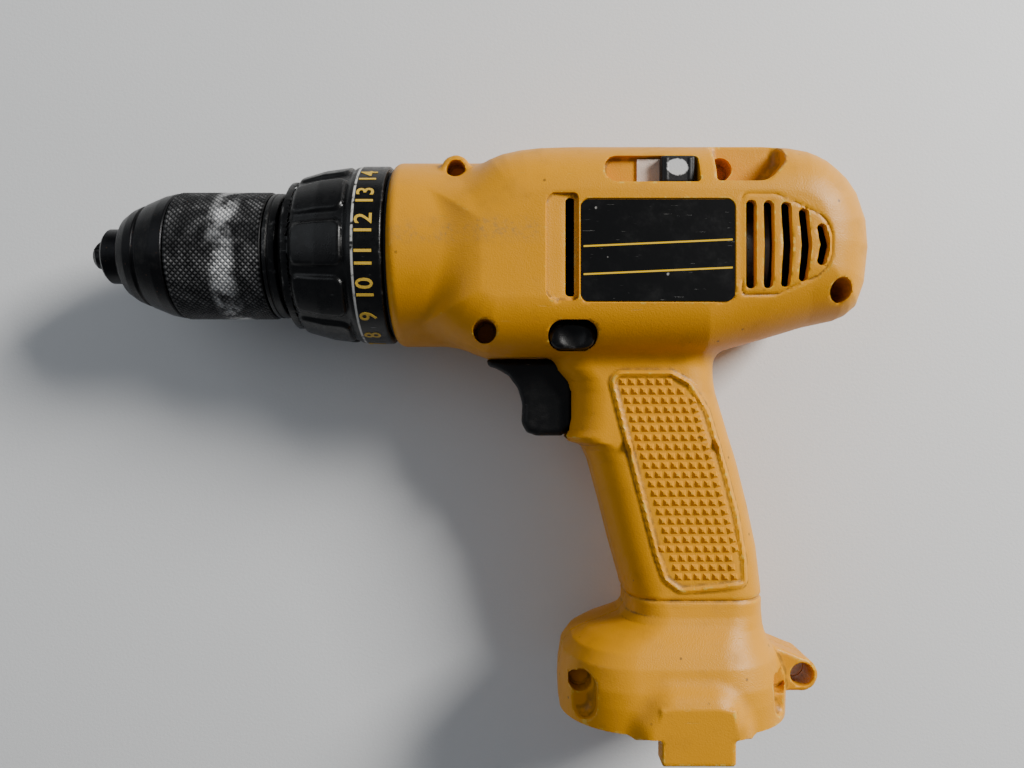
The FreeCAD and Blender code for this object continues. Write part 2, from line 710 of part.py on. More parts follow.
# ---------------------------------------------------------------- gears
def involute_tooth(teeth, module, tip, root, shrink):
    """Points of one tooth from root to tip and back, as (radius, angle) about the gear's centre."""
    pitch = teeth * module / 2
    base = pitch * math.cos(math.radians(20))
    half_at_pitch = math.pi / (2 * teeth) - shrink / (2 * pitch)

    def half_angle(radius):
        """Half the tooth's angle at a radius."""
        if radius <= base:
            radius = base
        pressure = math.acos(base / radius)
        roll = math.tan(math.radians(20)) - math.radians(20)
        return half_at_pitch + roll - (math.tan(pressure) - pressure)

    lowest = max(root, base)
    radii = [lowest + (tip - lowest) * k / 4 for k in range(5)]
    rise = [(root, half_angle(lowest))] if root < base - 0.01 else []
    rise += [(radius, half_angle(radius)) for radius in radii]
    return [(radius, -angle) for radius, angle in rise] + [(radius, angle) for radius, angle in reversed(rise)]


def gear_wire(teeth, module, tip, root, shrink, turn):
    """The closed outline of a gear in the YZ plane; turn is the angle of its first tooth."""
    points = []
    tooth = involute_tooth(teeth, module, tip, root, shrink)
    for k in range(teeth):
        for radius, angle in tooth:
            where = turn + 2 * math.pi * k / teeth + angle
            points.append(FreeCAD.Vector(0, radius * math.cos(where), radius * math.sin(where)))
    return Part.makePolygon(points + [points[0]])


def gear_solid(wire, front, width):
    face = Part.Face(wire)
    face.translate(FreeCAD.Vector(front, 0, 0))
    return face.extrude(FreeCAD.Vector(width, 0, 0))


def cylinder(front, rear, radius, y=0.0, z=0.0):
    return Part.makeCylinder(radius, rear - front, FreeCAD.Vector(front, y, z), X_AXIS)


def ring_teeth():
    return int(s.sun_teeth.value + 2 * s.planet_teeth.value)


def planet_circle():
    return (s.sun_teeth.value + s.planet_teeth.value) * s.gear_module.value / 2


def sun_outline(turn):
    teeth, module = int(s.sun_teeth.value), s.gear_module.value
    pitch = teeth * module / 2
    return gear_wire(teeth, module, pitch + module, pitch - 1.25 * module, s.backlash.value, turn)


def stage_front(stage):
    """Front face of a stage's planets; stage 0 is the output."""
    return s.stage_start.value + s.stage_pitch.value * stage


def sun_turn():
    """Turn of a sun gear that meshes it with the planet on the +Y axis."""
    planet_tooth_inward = int(s.planet_teeth.value) % 2 == 0
    return math.pi / s.sun_teeth.value if planet_tooth_inward else 0.0


def make_planets():
    """Three planets in each of three stages, each on its carrier's pin."""
    teeth, module = int(s.planet_teeth.value), s.gear_module.value
    pitch = teeth * module / 2
    wire = gear_wire(teeth, module, pitch + module, pitch - 1.25 * module, s.backlash.value, 0.0)
    bore = s.planet_pin.value + s.run_fit.value
    for stage in range(3):
        front = stage_front(stage)
        for k in range(3):
            place = 2 * math.pi * k / 3
            gear = gear_solid(wire, front, s.gear_width.value).cut(cylinder(front - 1, front + 20, bore))
            spin = planet_spin(k)
            gear.rotate(FreeCAD.Vector(0, 0, 0), X_AXIS, math.degrees(spin))
            gear.translate(FreeCAD.Vector(0, planet_circle() * math.cos(place), planet_circle() * math.sin(place)))
            finish_solid("planet_%s_%d" % ("output middle input".split()[stage], k + 1), gear)


def planet_spin(k):
    """Turn of a planet that meshes it with the fixed ring gear, whose gap lies on the +Y axis."""
    place = 2 * math.pi * k / 3
    return place - place * ring_teeth() / s.planet_teeth.value


def ring_gear(front, width, groove=False):
    """A ring gear with internal teeth: a blank with an external gear's outline cut from it."""
    teeth, module = ring_teeth(), s.gear_module.value
    pitch = teeth * module / 2
    space = gear_wire(teeth, module, pitch + 1.25 * module, pitch - module, -s.backlash.value, 0.0)
    blank = cylinder(front, front + width, s.gear_ring_radius.value - s.run_fit.value)
    tool = gear_solid(space, front - 1, width + 2)
    ring = blank.cut(tool)
    if groove:
        wide = 2 * s.shift_rod.value + 2 * s.clear_gap.value
        middle = front + width - 3
        collar = cylinder(middle - wide / 2, middle + wide / 2, s.gear_ring_radius.value + 1)
        ring = ring.cut(collar.cut(cylinder(middle - 5, middle + 5, s.gear_ring_radius.value - 1.2)))
    return ring


def make_ring_gears():
    gap = s.gear_gap.value
    finish_solid("ring_gear_output", ring_gear(stage_front(0) - gap, s.gear_width.value + 2 * gap))
    front = stage_front(1) - s.shift_lead.value
    finish_solid("ring_gear_shifting", ring_gear(front, s.gear_width.value + 3, groove=True))
    finish_solid("ring_gear_input", ring_gear(stage_front(2) - 2 * gap, s.gear_width.value + 2 * gap))


def carrier_pins(front):
    """The three pins that stand behind a carrier plate."""
    rear = front + s.gear_width.value + s.gear_gap.value
    pins = [cylinder(front - s.gear_gap.value, rear, s.planet_pin.value,
                     planet_circle() * math.cos(2 * math.pi * k / 3),
                     planet_circle() * math.sin(2 * math.pi * k / 3)) for k in range(3)]
    return pins[0].multiFuse(pins[1:])


def make_carriers():
    """The carriers of the input and middle stages, each with the next stage's sun gear in front."""
    for stage, name in ((1, "carrier_middle"), (2, "carrier_input")):
        front = stage_front(stage)
        plate_front = front - s.gear_gap.value - s.carrier_thick.value
        plate = cylinder(plate_front, front - s.gear_gap.value, s.carrier_radius.value)
        sun_front = stage_front(stage - 1)
        sun = gear_solid(sun_outline(sun_turn()), sun_front, plate_front - sun_front)
        finish_solid(name, plate.fuse(sun).fuse(carrier_pins(front)).removeSplitter())


def make_spindle():
    """The output spindle: threaded end for the chuck, bearing seats, and the output carrier."""
    front = stage_front(0)
    plate_rear = front - s.gear_gap.value
    plate = cylinder(plate_rear - s.carrier_thick.value, plate_rear, s.carrier_radius.value)
    stem = cylinder(s.spindle_front.value, plate_rear, s.spindle_radius.value)
    seat = cylinder(s.spindle_front.value - 1, s.spindle_front.value + 14, 2.5)
    groove = cylinder(-25.4, -24.2, s.spindle_radius.value + 1)
    groove = groove.cut(cylinder(-26, -24, s.spindle_radius.value - 0.8))
    spindle = stem.fuse(plate).fuse(carrier_pins(front)).cut(seat).cut(groove).removeSplitter()
    finish_solid("output_spindle", spindle)


def make_gear_case():
    """The gear case: nose for the clutch, flange, and the barrel that holds the ring gears."""
    outer, inner = gear_case_radius(), s.gear_ring_radius
    rear = s.mount_x - 0.4
    body = turned([
        (s.nose_front, s.bearing_radius), (s.nose_front + 8, s.bearing_radius),
        (s.nose_front + 8, s.spindle_radius + 2), (-3, s.spindle_radius + 2), (-3, s.bearing_radius),
        (2.4, s.bearing_radius), (2.4, inner), (rear, inner), (rear, outer), (2.4, outer),
        (2.4, s.flange_radius), (s.ring_rear + s.clear_gap, s.flange_radius),
        (s.ring_rear + s.clear_gap, s.nose_radius), (s.nose_front, s.nose_radius),
    ], "gear_case")
    pins = ring_of(rod(-4, 4, s.pin_radius + s.run_fit, s.pin_circle), 6, 30.0)
    snap_slot = cut(rod(s.ring_wall_x - 1.5, s.ring_wall_x - s.clear_gap, s.nose_radius + 1),
                    rod(s.ring_wall_x - 3, s.ring_wall_x + 3, s.nose_radius - 1))
    travel_front = stage_front(1) + s.gear_width.value - s.shift_lead.value - s.shift_rod.value - 1
    slot = block((travel_front, travel_front + s.shift_travel.value + 3), (s.gear_ring_radius - 3, outer + 2),
                 (-s.shift_rod - 0.4, s.shift_rod + 0.4))
    finish("gear_case", cut(body, *pins, snap_slot, turn_about_axis(slot, s.shift_angle.value)))


def make_clutch():
    """Clutch ring, threaded nut, spring, washer, pins and the snap ring that holds the ring on."""
    outline = [
        (s.ring_wall_x, s.nose_radius + s.clear_gap), (s.ring_wall_x + s.ring_web, s.nose_radius + s.clear_gap),
        (s.ring_wall_x + s.ring_web, s.ring_front_radius - 2), (-26, s.ring_bore), (s.ring_rear, s.ring_bore),
        (s.ring_rear, s.ring_radius), (-9.5, s.ring_radius), (-11, s.ring_radius - 0.8),
        (-21, s.ring_radius - 1.8), (-29, s.ring_radius - 4), (-32, s.ring_radius - 7.4),
        (s.ring_front, s.ring_front_radius), (s.ring_front, s.ring_front_radius - 2),
        (s.ring_wall_x, s.ring_front_radius - 2),
    ]
    ring = turned(outline, "clutch_ring")
    flute = rod(-31, -14.5, 1.5, s.ring_radius - 0.6)
    key = block((-27, -9), (s.ring_bore - 1.6, s.ring_bore + 0.5), (-1.5, 1.5))
    fluted = cut(ring, *ring_of(flute, int(s.pad_count.value), 15.0))
    finish("clutch_ring", fuse(fluted, *ring_of(key, 3)))
    nut = cut(rod(s.nut_rest_x, s.nut_rest_x + s.nut_thick, s.ring_bore - s.clear_gap),
              rod(s.nut_rest_x - 1, s.nut_rest_x + s.nut_thick + 1, s.nose_radius + s.run_fit))
    keyway = block((s.nut_rest_x - 1, s.nut_rest_x + s.nut_thick + 1),
                   (s.ring_bore - 2.2, s.ring_bore + 1), (-1.9, 1.9))
    finish("clutch_nut", cut(nut, *ring_of(keyway, 3)))
    front = s.nut_rest_x + s.nut_thick + s.clutch_wire / 2 + 0.1
    span = s.washer_x - 0.1 - s.clutch_wire / 2 - front
    finish("clutch_spring", coil(front, span, s.clutch_coil, s.clutch_wire, 3.5, 0.0))
    finish("clutch_washer", cut(rod(s.washer_x, s.washer_x + s.washer_thick, s.pin_circle + 3),
                                rod(s.washer_x - 1, 0, s.nose_radius + s.clear_gap)))
    pin = rod(s.washer_x + s.washer_thick, stage_front(0) - s.gear_gap.value, s.pin_radius, s.pin_circle)
    finish("clutch_pins", group(*ring_of(pin, 6, 30.0)))
    snap = cut(rod(s.ring_wall_x - 1.3, s.ring_wall_x - s.clear_gap - 0.1, s.nose_radius + 2.6),
               rod(s.ring_wall_x - 2, s.ring_wall_x + 1, s.nose_radius - 0.9),
               block((-40, -30), (0, 30), (-3, 3)))
    finish("clutch_snap_ring", snap)


def coil(front, span, radius, wire, turns, height):
    """A helical spring along the axis, centred at the given height."""
    body = make("PartDesign::Body", "coil")
    sketch = body.newObject("Sketcher::SketchObject", "sketch_%d" % next(names))
    plane = [feature for feature in body.Origin.OriginFeatures if feature.Role == "XY_Plane"][0]
    sketch.AttachmentSupport = [(plane, "")]
    sketch.MapMode = "FlatFace"
    spot = FreeCAD.Vector(0, Size.of(radius).value, 0)
    circle = sketch.addGeometry(Part.Circle(spot, Z_AXIS, Size.of(wire).value / 2), False)
    held = sketch.addConstraint(Sketcher.Constraint("Radius", circle, Size.of(wire).value / 2))
    sketch.setExpression("Constraints[%d]" % held, (Size.of(wire) / 2).text)
    for kind, size in (("DistanceX", Size(0)), ("DistanceY", Size.of(radius))):
        held = sketch.addConstraint(Sketcher.Constraint(kind, -1, 1, circle, 3, size.value))
        sketch.setExpression("Constraints[%d]" % held, size.text)
    doc.recompute()
    helix = body.newObject("PartDesign::AdditiveHelix", "helix_%d" % next(names))
    helix.Profile = sketch
    axis = [feature for feature in body.Origin.OriginFeatures if feature.Role == "X_Axis"][0]
    helix.ReferenceAxis = (axis, [""])
    helix.Mode = "height-turns-growth"
    helix.Turns = turns
    bind(helix, Height=span)
    doc.recompute()
    holder = group(body)
    return bind(holder, Base_x=front, Base_y=height)


def bearing(front, width, outer, inner):
    """A shielded ball bearing as one ring with its two grooved faces."""
    race = (Size.of(outer) - inner) / 3
    return turned([
        (front, inner), (front + width, inner), (front + width, inner + race),
        (front + width - 0.4, inner + race), (front + width - 0.4, outer - race), (front + width, outer - race),
        (front + width, outer), (front, outer), (front, outer - race), (Size.of(front) + 0.4, outer - race),
        (Size.of(front) + 0.4, inner + race), (front, inner + race),
    ], "bearing")


def make_spindle_bearings():
    bore = s.spindle_radius + s.run_fit
    finish("spindle_bearings", group(bearing(s.nose_front + 0.3, Size(7.7), s.bearing_radius, bore),
                                     bearing(Size(-3), Size(5.2), s.bearing_radius, bore)))
    circlip = cut(rod(-25.3, -24.3, s.spindle_radius + 1.6), rod(-26, -24, s.spindle_radius - 0.75),
                  block((-27, -23), (0, 10), (-2, 2)))
    finish("spindle_circlip", circlip)


def shift_rod_place():
    return (s.shift_rod_circle * cosine(s.shift_angle), s.shift_rod_circle * sine(s.shift_angle))


def make_shift():
    """The rod and finger that push the shifting ring gear along its case."""
    rod_y, rod_z = shift_rod_place()
    finger_x = stage_front(1) + s.gear_width.value - s.shift_lead.value
    finger = block((finger_x - s.shift_rod.value, finger_x + s.shift_rod.value),
                   (s.gear_ring_radius - 0.9, s.shift_rod_circle), (-s.shift_rod, s.shift_rod))
    along = rod(finger_x - s.shift_rod.value, s.slot_front + 3, s.shift_rod, rod_y, rod_z)
    finish("shift_rod", fuse(along, turn_about_axis(finger, s.shift_angle.value)))


def make_selector():
    """The speed selector: a thin plate that closes the slot, and the knob on it."""
    back = s.slot_back - 0.4
    plate = block((s.slot_front + s.selector_travel - 1, back + 1), (s.slot_low - 0.8, s.slot_high + 1),
                  (s.plate_z, s.plate_z + s.plate_thick))
    knob = prism("XY_Plane", rectangle(back - s.knob_long, back, s.slot_low + s.clear_gap,
                                       s.slot_high - s.clear_gap, 1.2),
                 s.plate_z, s.knob_top, "knob")
    finish("speed_selector", fuse(plate, knob))


# ---------------------------------------------------------------- motor
def make_motor():
    """Mounting plate, fan, can, magnets, armature, commutator, brushes, bearings and end bell."""
    mount_rear = s.mount_x + s.mount_thick
    finish("motor_mount", turned([
        (s.mount_x, s.shaft_radius + 3), (s.mount_x + 1, s.shaft_radius + 3), (s.mount_x + 1, s.motor_bearing),
        (mount_rear, s.motor_bearing), (mount_rear, s.motor_bearing + 2), (s.mount_x + 2, s.motor_bearing + 3),
        (s.mount_x + 2, s.mount_radius - 2), (mount_rear, s.mount_radius - 2), (mount_rear, s.mount_radius),
        (s.mount_x, s.mount_radius),
    ], "mount"))
    bore = s.shaft_radius + s.run_fit
    finish("motor_bearings", group(
        bearing(s.mount_x + 1, s.motor_bearing_width - 0.4, s.motor_bearing, bore),
        bearing(s.bell_rear - s.motor_bearing_width, s.motor_bearing_width - 0.5, s.motor_bearing, bore)))
    can_inner = s.can_radius - s.can_wall
    can = turned([
        (s.can_front, s.shaft_radius + 3), (s.can_front + s.can_wall, s.shaft_radius + 3),
        (s.can_front + s.can_wall, can_inner), (s.can_rear, can_inner), (s.can_rear, s.can_radius),
        (s.can_front, s.can_radius),
    ], "can")
    window = rod(s.can_front - 1, s.can_front + s.can_wall + 1, 3, 14)
    finish("motor_can", cut(can, *ring_of(window, 6)))
    magnet_inner = s.core_radius + s.magnet_gap
    magnet_span = (s.core_front - 2, s.core_rear + 2)
    gap_block = block((s.core_front - 3, s.core_rear + 3), (-6, 6), (-s.can_radius, s.can_radius))
    magnets = cut(rod(*magnet_span, can_inner), rod(s.core_front - 3, s.core_rear + 3, magnet_inner), gap_block)
    finish("motor_magnets", magnets)
    make_rotor(mount_rear)
    make_brush_end(can_inner)


def make_rotor(mount_rear):
    """Everything on the motor shaft."""
    shaft_rear = s.bell_rear + 2
    pinion_front = stage_front(2)
    finish_solid("motor_pinion", gear_solid(sun_outline(sun_turn()), pinion_front, 9.0)
                 .cut(cylinder(pinion_front - 1, pinion_front + 20, s.shaft_radius.value)))
    finish("motor_shaft", rod(Size(pinion_front), shaft_rear, s.shaft_radius))
    hub = cut(rod(s.fan_x, s.fan_x + s.fan_width, 6), rod(s.fan_x - 1, s.fan_x + s.fan_width + 1, s.shaft_radius))
    disc = cut(rod(s.fan_x + s.fan_width - 1.5, s.fan_x + s.fan_width, s.fan_radius),
               rod(s.fan_x, s.fan_x + s.fan_width + 1, 5))
    blade = block((s.fan_x, s.fan_x + s.fan_width - 1), (9, s.fan_radius - 0.2), (-0.6, 0.6))
    finish("cooling_fan", fuse(hub, disc, *ring_of(blade, int(s.fan_blades.value))))
    core = cut(rod(s.core_front, s.core_rear, s.core_radius),
               rod(s.core_front - 1, s.core_rear + 1, s.shaft_radius))
    slot = block((s.core_front - 1, s.core_rear + 1), (7.5, s.core_radius + 1), (-1.5, 1.5))
    finish("armature_core", cut(core, *ring_of(slot, int(s.core_slots.value))))
    bars = block((s.core_front, s.core_rear), (7.6, s.core_radius - 0.8), (-1.4, 1.4))
    ends = []
    for at, way in ((s.core_front, -1), (s.core_rear, 1)):
        far = at + 7 * way
        ends.append(turned([(at, s.shaft_radius + 0.5), (at, 13.6), (at + 3.5 * way, 13.6, 2), (far, 11, 2),
                            (far, s.shaft_radius + 0.5)], "winding_end"))
    finish("armature_windings", fuse(*ends, *ring_of(bars, int(s.core_slots.value))))
    comm = cut(rod(s.commutator_x, s.commutator_x + s.commutator_length, s.commutator_radius),
               rod(s.commutator_x - 1, s.commutator_x + s.commutator_length + 1, s.shaft_radius))
    mica = block((s.commutator_x - 1, s.commutator_x + s.commutator_length + 1),
                 (s.commutator_radius - 0.8, s.commutator_radius + 1), (-0.2, 0.2))
    finish("commutator", cut(comm, *ring_of(mica, int(s.core_slots.value))))


def make_brush_end(can_inner):
    """The end bell with its brush boxes, the two brushes and their springs."""
    bell_front = s.can_rear
    bell = turned([
        (bell_front, can_inner - 3), (s.bell_rear - 2, can_inner - 3), (s.bell_rear - 2, s.motor_bearing + 2),
        (s.bell_rear - s.motor_bearing_width, s.motor_bearing + 2),
        (s.bell_rear - s.motor_bearing_width, s.motor_bearing), (s.bell_rear, s.motor_bearing),
        (s.bell_rear, can_inner - 1, 3), (bell_front, can_inner - 0.4),
    ], "bell")
    middle = s.commutator_x + s.commutator_length / 2
    half = s.brush_width / 2
    box_x = (middle - half - 1.2, middle + half + 1.2)
    hole_x = (middle - half, middle + half)
    box = block(box_x, (s.commutator_radius + 1.2, can_inner - 2.5), (-half - 1.2, half + 1.2))
    hole = block(hole_x, (s.commutator_radius, can_inner - 3.2), (-half, half))
    boxes = fuse(bell, *ring_of(box, 2))
    finish("brush_holder", cut(boxes, *ring_of(hole, 2)))
    brush = block((hole_x[0] + 0.1, hole_x[1] - 0.1), (s.commutator_radius + 0.1, s.commutator_radius + 5.5),
                  (-half + 0.1, half - 0.1))
    finish("carbon_brushes", group(*ring_of(brush, 2)))


# ---------------------------------------------------------------- chuck
def jaw_axis(front, length, radius, k):
    """A cylinder along jaw k's sloping line; front is the distance behind the closed tip."""
    slope = math.radians(s.jaw_angle.value)
    along = FreeCAD.Vector(math.cos(slope), math.sin(slope), 0)
    start = FreeCAD.Vector(s.jaw_tip.value, s.jaw_offset.value, 0) + along * front
    shape = Part.makeCylinder(radius, length, start, along)
    shape.rotate(FreeCAD.Vector(0, 0, 0), X_AXIS, 120.0 * k)
    return shape


def jaw_shape(k):
    """A round jaw with its two gripping flats and a square-cut tip."""
    rear = s.jaw_length.value
    body = jaw_axis(-4, rear + 4, s.jaw_radius.value, k)
    tip, edge = s.jaw_tip.value, s.jaw_split.value
    reach = 30.0
    spread = reach * math.tan(math.radians(60))
    wedge = Part.makePolygon([
        FreeCAD.Vector(tip, edge, 0), FreeCAD.Vector(tip, edge + reach, spread),
        FreeCAD.Vector(tip, edge + reach, -spread), FreeCAD.Vector(tip, edge, 0),
    ])
    sector = Part.Face(wedge).extrude(FreeCAD.Vector(60, 0, 0))
    cone = Part.makeCone(3.4, 3.4 + 60, 60, FreeCAD.Vector(tip, 0, 0), X_AXIS)
    sector = sector.common(cone)
    sector.rotate(FreeCAD.Vector(0, 0, 0), X_AXIS, 120.0 * k)
    return body.common(sector)


def make_jaws():
    for k in range(3):
        finish_solid("chuck_jaw_%d" % (k + 1), jaw_shape(k))


def make_chuck_body():
    """The chuck body with its three sloping jaw bores, nut waist and rear stem."""
    gap, bore, screw_bore = s.clear_gap, s.chuck_bore, 3.1
    waist = jaw_outer_radius(s.nut_front) - 0.9
    body = turned([
        (s.nose_tip, bore), (-66, bore), (-66, screw_bore), (s.spindle_front, screw_bore),
        (s.spindle_front, s.spindle_radius), (s.chuck_rear, s.spindle_radius),
        (s.chuck_rear, 17), (s.sleeve_rear, 17), (s.sleeve_rear, s.sleeve_bore - gap),
        (s.nut_back + gap, s.sleeve_bore - gap), (s.nut_back + gap, waist),
        (s.nut_front - gap, waist), (s.nut_front - gap, 15.9), (-84, 15.9),
        (s.hood_front, s.nose_tip_radius), (s.nose_tip + 0.8, s.nose_tip_radius),
        (s.nose_tip, s.nose_tip_radius - 0.8),
    ], "chuck_body").Shape
    bores = [jaw_axis(-8, s.jaw_length.value + 30, s.jaw_radius.value + s.jaw_play.value, k) for k in range(3)]
    finish_solid("chuck_body", body.cut(bores))


def jaw_outer_radius(x):
    """Distance of the jaws' outer side from the axis at a place along it."""
    return s.jaw_offset + (x - s.jaw_tip) * tangent(s.jaw_angle) + s.jaw_radius / cosine(s.jaw_angle)


def make_chuck_shells():
    """Hood, knurled sleeve, rear collar, jaw nut and the screw that locks the chuck on its spindle."""
    gap = s.clear_gap
    finish("chuck_hood", turned([
        (s.hood_front, s.nose_tip_radius + gap), (-84, 15.9 + gap + 0.3), (s.nut_front, 15.9 + gap + 0.3),
        (s.nut_front, s.nut_radius), (s.hood_rear, s.nut_radius), (s.hood_rear, s.sleeve_radius - 0.4),
        (-75.8, 20.0), (-80.4, 18.4), (-82, 17.4), (-83, 17.5), (-86.5, 15.4), (-89.3, 13.4), (-91.2, 11.2),
        (s.hood_front, 10.4),
    ], "hood"))
    finish("chuck_sleeve", turned([
        (s.sleeve_front, s.nut_radius), (s.nut_back, s.nut_radius), (s.nut_back, s.sleeve_bore),
        (s.sleeve_rear, s.sleeve_bore), (s.sleeve_rear, s.sleeve_radius - 0.5),
        (s.sleeve_rear - 0.5, s.sleeve_radius), (s.sleeve_front + 0.5, s.sleeve_radius),
        (s.sleeve_front, s.sleeve_radius - 0.5),
    ], "sleeve"))
    finish("chuck_collar", turned([
        (s.sleeve_rear + gap, 17), (s.chuck_rear, 17), (s.chuck_rear, s.collar_radius - 1),
        (s.chuck_rear - 1, s.collar_radius), (s.sleeve_rear + gap, s.collar_radius),
    ], "collar"))
    finish("chuck_nut", turned([
        (s.nut_front, jaw_outer_radius(s.nut_front) + gap), (s.nut_back, jaw_outer_radius(s.nut_back) + gap),
        (s.nut_back, s.nut_radius), (s.nut_front, s.nut_radius),
    ], "nut"))
    head = rod(-69.5, -66, 4.8)
    recess = rod(-70, -68, 2)
    finish("chuck_screw", cut(fuse(head, rod(-66, s.spindle_front + 13, 2.45)), recess))


# ---------------------------------------------------------------- trigger, switch and wiring
def make_trigger():
    """Trigger with its hooked top, finger hollow and plunger; its spring; and the direction button."""
    top = -s.case_drop - s.clear_gap - 0.1
    face, low, back = s.trigger_face, s.trigger_low, s.trigger_back
    shape = prism("XY_Plane", [
        (face - 13, top), (face - 13.4, top - 1.2), (face - 4.5, top - 5.6, 6), (face + 0.2, top - 13, 12),
        (face - 0.3, low + 3.6, 6), (face + 2.6, low, 1.8), (back, low + 0.2), (back, top),
    ], -s.trigger_half, s.trigger_half, "trigger")
    finish("trigger", fuse(shape, rod(s.trigger_back - 2, s.switch_front + 8, s.plunger, plunger_height())))
    front = s.trigger_back + s.trigger_wire / 2 + 0.1
    span = s.switch_front - 0.1 - s.trigger_wire / 2 - front
    finish("trigger_spring", coil(front, span, s.trigger_coil, s.trigger_wire, 4.5, plunger_height()))
    outline = stadium(s.button_x, s.button_y, s.button_long, s.button_wide, Size(0))
    low_end = -s.half_width + s.button_travel + 3
    finish("direction_button", prism("XY_Plane", outline, low_end, s.half_width - 7, "button"))


def plunger_height():
    return (s.switch_top + s.switch_low) / 2


def make_switch():
    """The variable-speed switch, its heat sink and the terminal block with its contacts."""
    body = block((s.switch_front, s.switch_back), (s.switch_low, s.switch_top), (-s.switch_half, s.switch_half))
    bore = rod(s.switch_front - 1, s.switch_front + 15, s.plunger + s.clear_gap, plunger_height())
    rim = block((s.switch_front + 3, s.switch_back - 3), (s.switch_low - 1.5, s.switch_low),
                (-s.switch_half + 3, s.switch_half - 3))
    finish("trigger_switch", cut(fuse(body, rim), bore))
    finish("terminal_block", block((s.block_front, s.block_back), (s.block_low, s.block_top),
                                   (-s.block_half, s.block_half)))
    blades = []
    for at in (-7, 0, 7):
        middle = (s.block_front + s.block_back) / 2
        blades.append(block((middle - 3.2, middle + 3.2), (s.block_low - s.blade_length, s.block_low),
                            (Size(at) - 0.4, Size(at) + 0.4)))
    finish("battery_contacts", group(*blades))


def lead(points):
    """An insulated lead: straight runs joined by tangent arcs, swept by a round section."""
    spots = [FreeCAD.Vector(*point) for point in points]
    edges, here = [], spots[0]
    for before, corner, after in zip(spots, spots[1:], spots[2:]):
        into, out = (corner - before).normalize(), (after - corner).normalize()
        turn = into.getAngle(out)
        shorter = min(before.distanceToPoint(corner), corner.distanceToPoint(after))
        back = 0.45 * shorter
        first, last = corner - into * back, corner + out * back
        bulge = (out - into).normalize()
        radius = back / math.tan(turn / 2)
        centre = corner + bulge * (radius / math.cos(turn / 2))
        middle = centre - bulge * radius
        edges += [Part.LineSegment(here, first).toShape(), Part.Arc(first, middle, last).toShape()]
        here = last
    edges.append(Part.LineSegment(here, spots[-1]).toShape())
    path = Part.Wire(edges)
    start = (spots[1] - spots[0]).normalize()
    section = Part.Wire([Part.Circle(spots[0], start, s.wire_radius.value).toShape()])
    return path.makePipeShell([section], True, False)


def make_leads():
    """Leads from the brush holder to the switch, and from the switch to the terminal block."""
    can_side = -s.can_radius.value
    bell = s.can_rear.value + 6
    back = s.switch_back.value
    switch_low = s.switch_low.value - 1.5
    plug_y = plunger_height().value
    block_top = s.block_top.value
    motor, battery = [], []
    for side in (4.0, -4.0):
        motor.append(lead([(bell, can_side + 1.6, side), (bell - 1.5, can_side - 1.8, side),
                           (bell - 15, can_side - 3, side), (back + 4, can_side - 6, side),
                           (back + 3.5, plug_y, side), (back, plug_y, side)]))
        battery.append(lead([(back - 8, switch_low, side), (back - 8, switch_low - 12, side),
                             (back + 4, switch_low - 21, side * 1.3), (back + 4, block_top, side * 1.3)]))
    finish_solid("motor_leads", Part.makeCompound(motor))
    finish_solid("battery_leads", Part.makeCompound(battery))


# ---------------------------------------------------------------- build, check and write
def build():
    make_housing()
    make_screws()
    make_labels()
    make_gear_case()
    make_clutch()
    make_planets()
    make_ring_gears()
    make_carriers()
    make_spindle()
    make_spindle_bearings()
    make_shift()
    make_selector()
    make_motor()
    make_chuck_body()
    make_chuck_shells()
    make_jaws()
    make_trigger()
    make_switch()
    make_leads()
    doc.recompute()


def check():
    """Stop before anything is written if an object failed or a sub-part's shape is unsound."""
    failed = [thing.Name for thing in doc.Objects if {"Invalid", "Error"} & set(thing.State)]
    if failed:
        raise RuntimeError("failed objects: " + ", ".join(failed))
    for thing in parts:
        if thing.Shape.isNull() or not thing.Shape.isValid() or not thing.Shape.Solids:
            raise RuntimeError("unsound shape: " + thing.Label)


def write():
    os.makedirs("parts", exist_ok=True)
    for thing in parts:
        thing.Shape.exportStep("parts/" + thing.Label + ".step")
        box = thing.Shape.BoundBox
        print("%-24s solids %d volume %9.1f  x %7.2f %7.2f  y %7.2f %7.2f  z %6.2f %6.2f" % (
            thing.Label, len(thing.Shape.Solids), thing.Shape.Volume,
            box.XMin, box.XMax, box.YMin, box.YMax, box.ZMin, box.ZMax))


build()
check()
write()
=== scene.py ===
"""Looks of a worn yellow cordless drill that lies on its right side on a pale table."""
import json
import logging
import math
from dataclasses import dataclass
from enum import Enum
from typing import Callable, Iterable, Sequence

import bmesh
import bpy
import numpy as np
from mathutils import Matrix, Vector


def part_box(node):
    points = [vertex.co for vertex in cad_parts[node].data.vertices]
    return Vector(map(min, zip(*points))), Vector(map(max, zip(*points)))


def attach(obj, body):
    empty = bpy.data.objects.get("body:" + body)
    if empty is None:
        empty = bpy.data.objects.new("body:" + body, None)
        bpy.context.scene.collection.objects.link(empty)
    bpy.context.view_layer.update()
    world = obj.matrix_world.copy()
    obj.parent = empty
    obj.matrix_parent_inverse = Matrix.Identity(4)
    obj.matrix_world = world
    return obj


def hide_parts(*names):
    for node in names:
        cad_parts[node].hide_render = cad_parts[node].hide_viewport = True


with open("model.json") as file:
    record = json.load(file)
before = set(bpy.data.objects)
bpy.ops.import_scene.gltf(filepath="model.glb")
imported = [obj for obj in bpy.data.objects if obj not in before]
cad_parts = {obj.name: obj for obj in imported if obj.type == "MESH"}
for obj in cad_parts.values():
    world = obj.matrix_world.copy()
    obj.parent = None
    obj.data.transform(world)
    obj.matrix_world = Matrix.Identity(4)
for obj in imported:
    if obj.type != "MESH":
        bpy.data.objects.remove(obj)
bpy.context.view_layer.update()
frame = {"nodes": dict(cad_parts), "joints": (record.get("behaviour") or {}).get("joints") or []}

logging.basicConfig(level=logging.INFO, format="%(name)s: %(message)s")
log = logging.getLogger("drill")

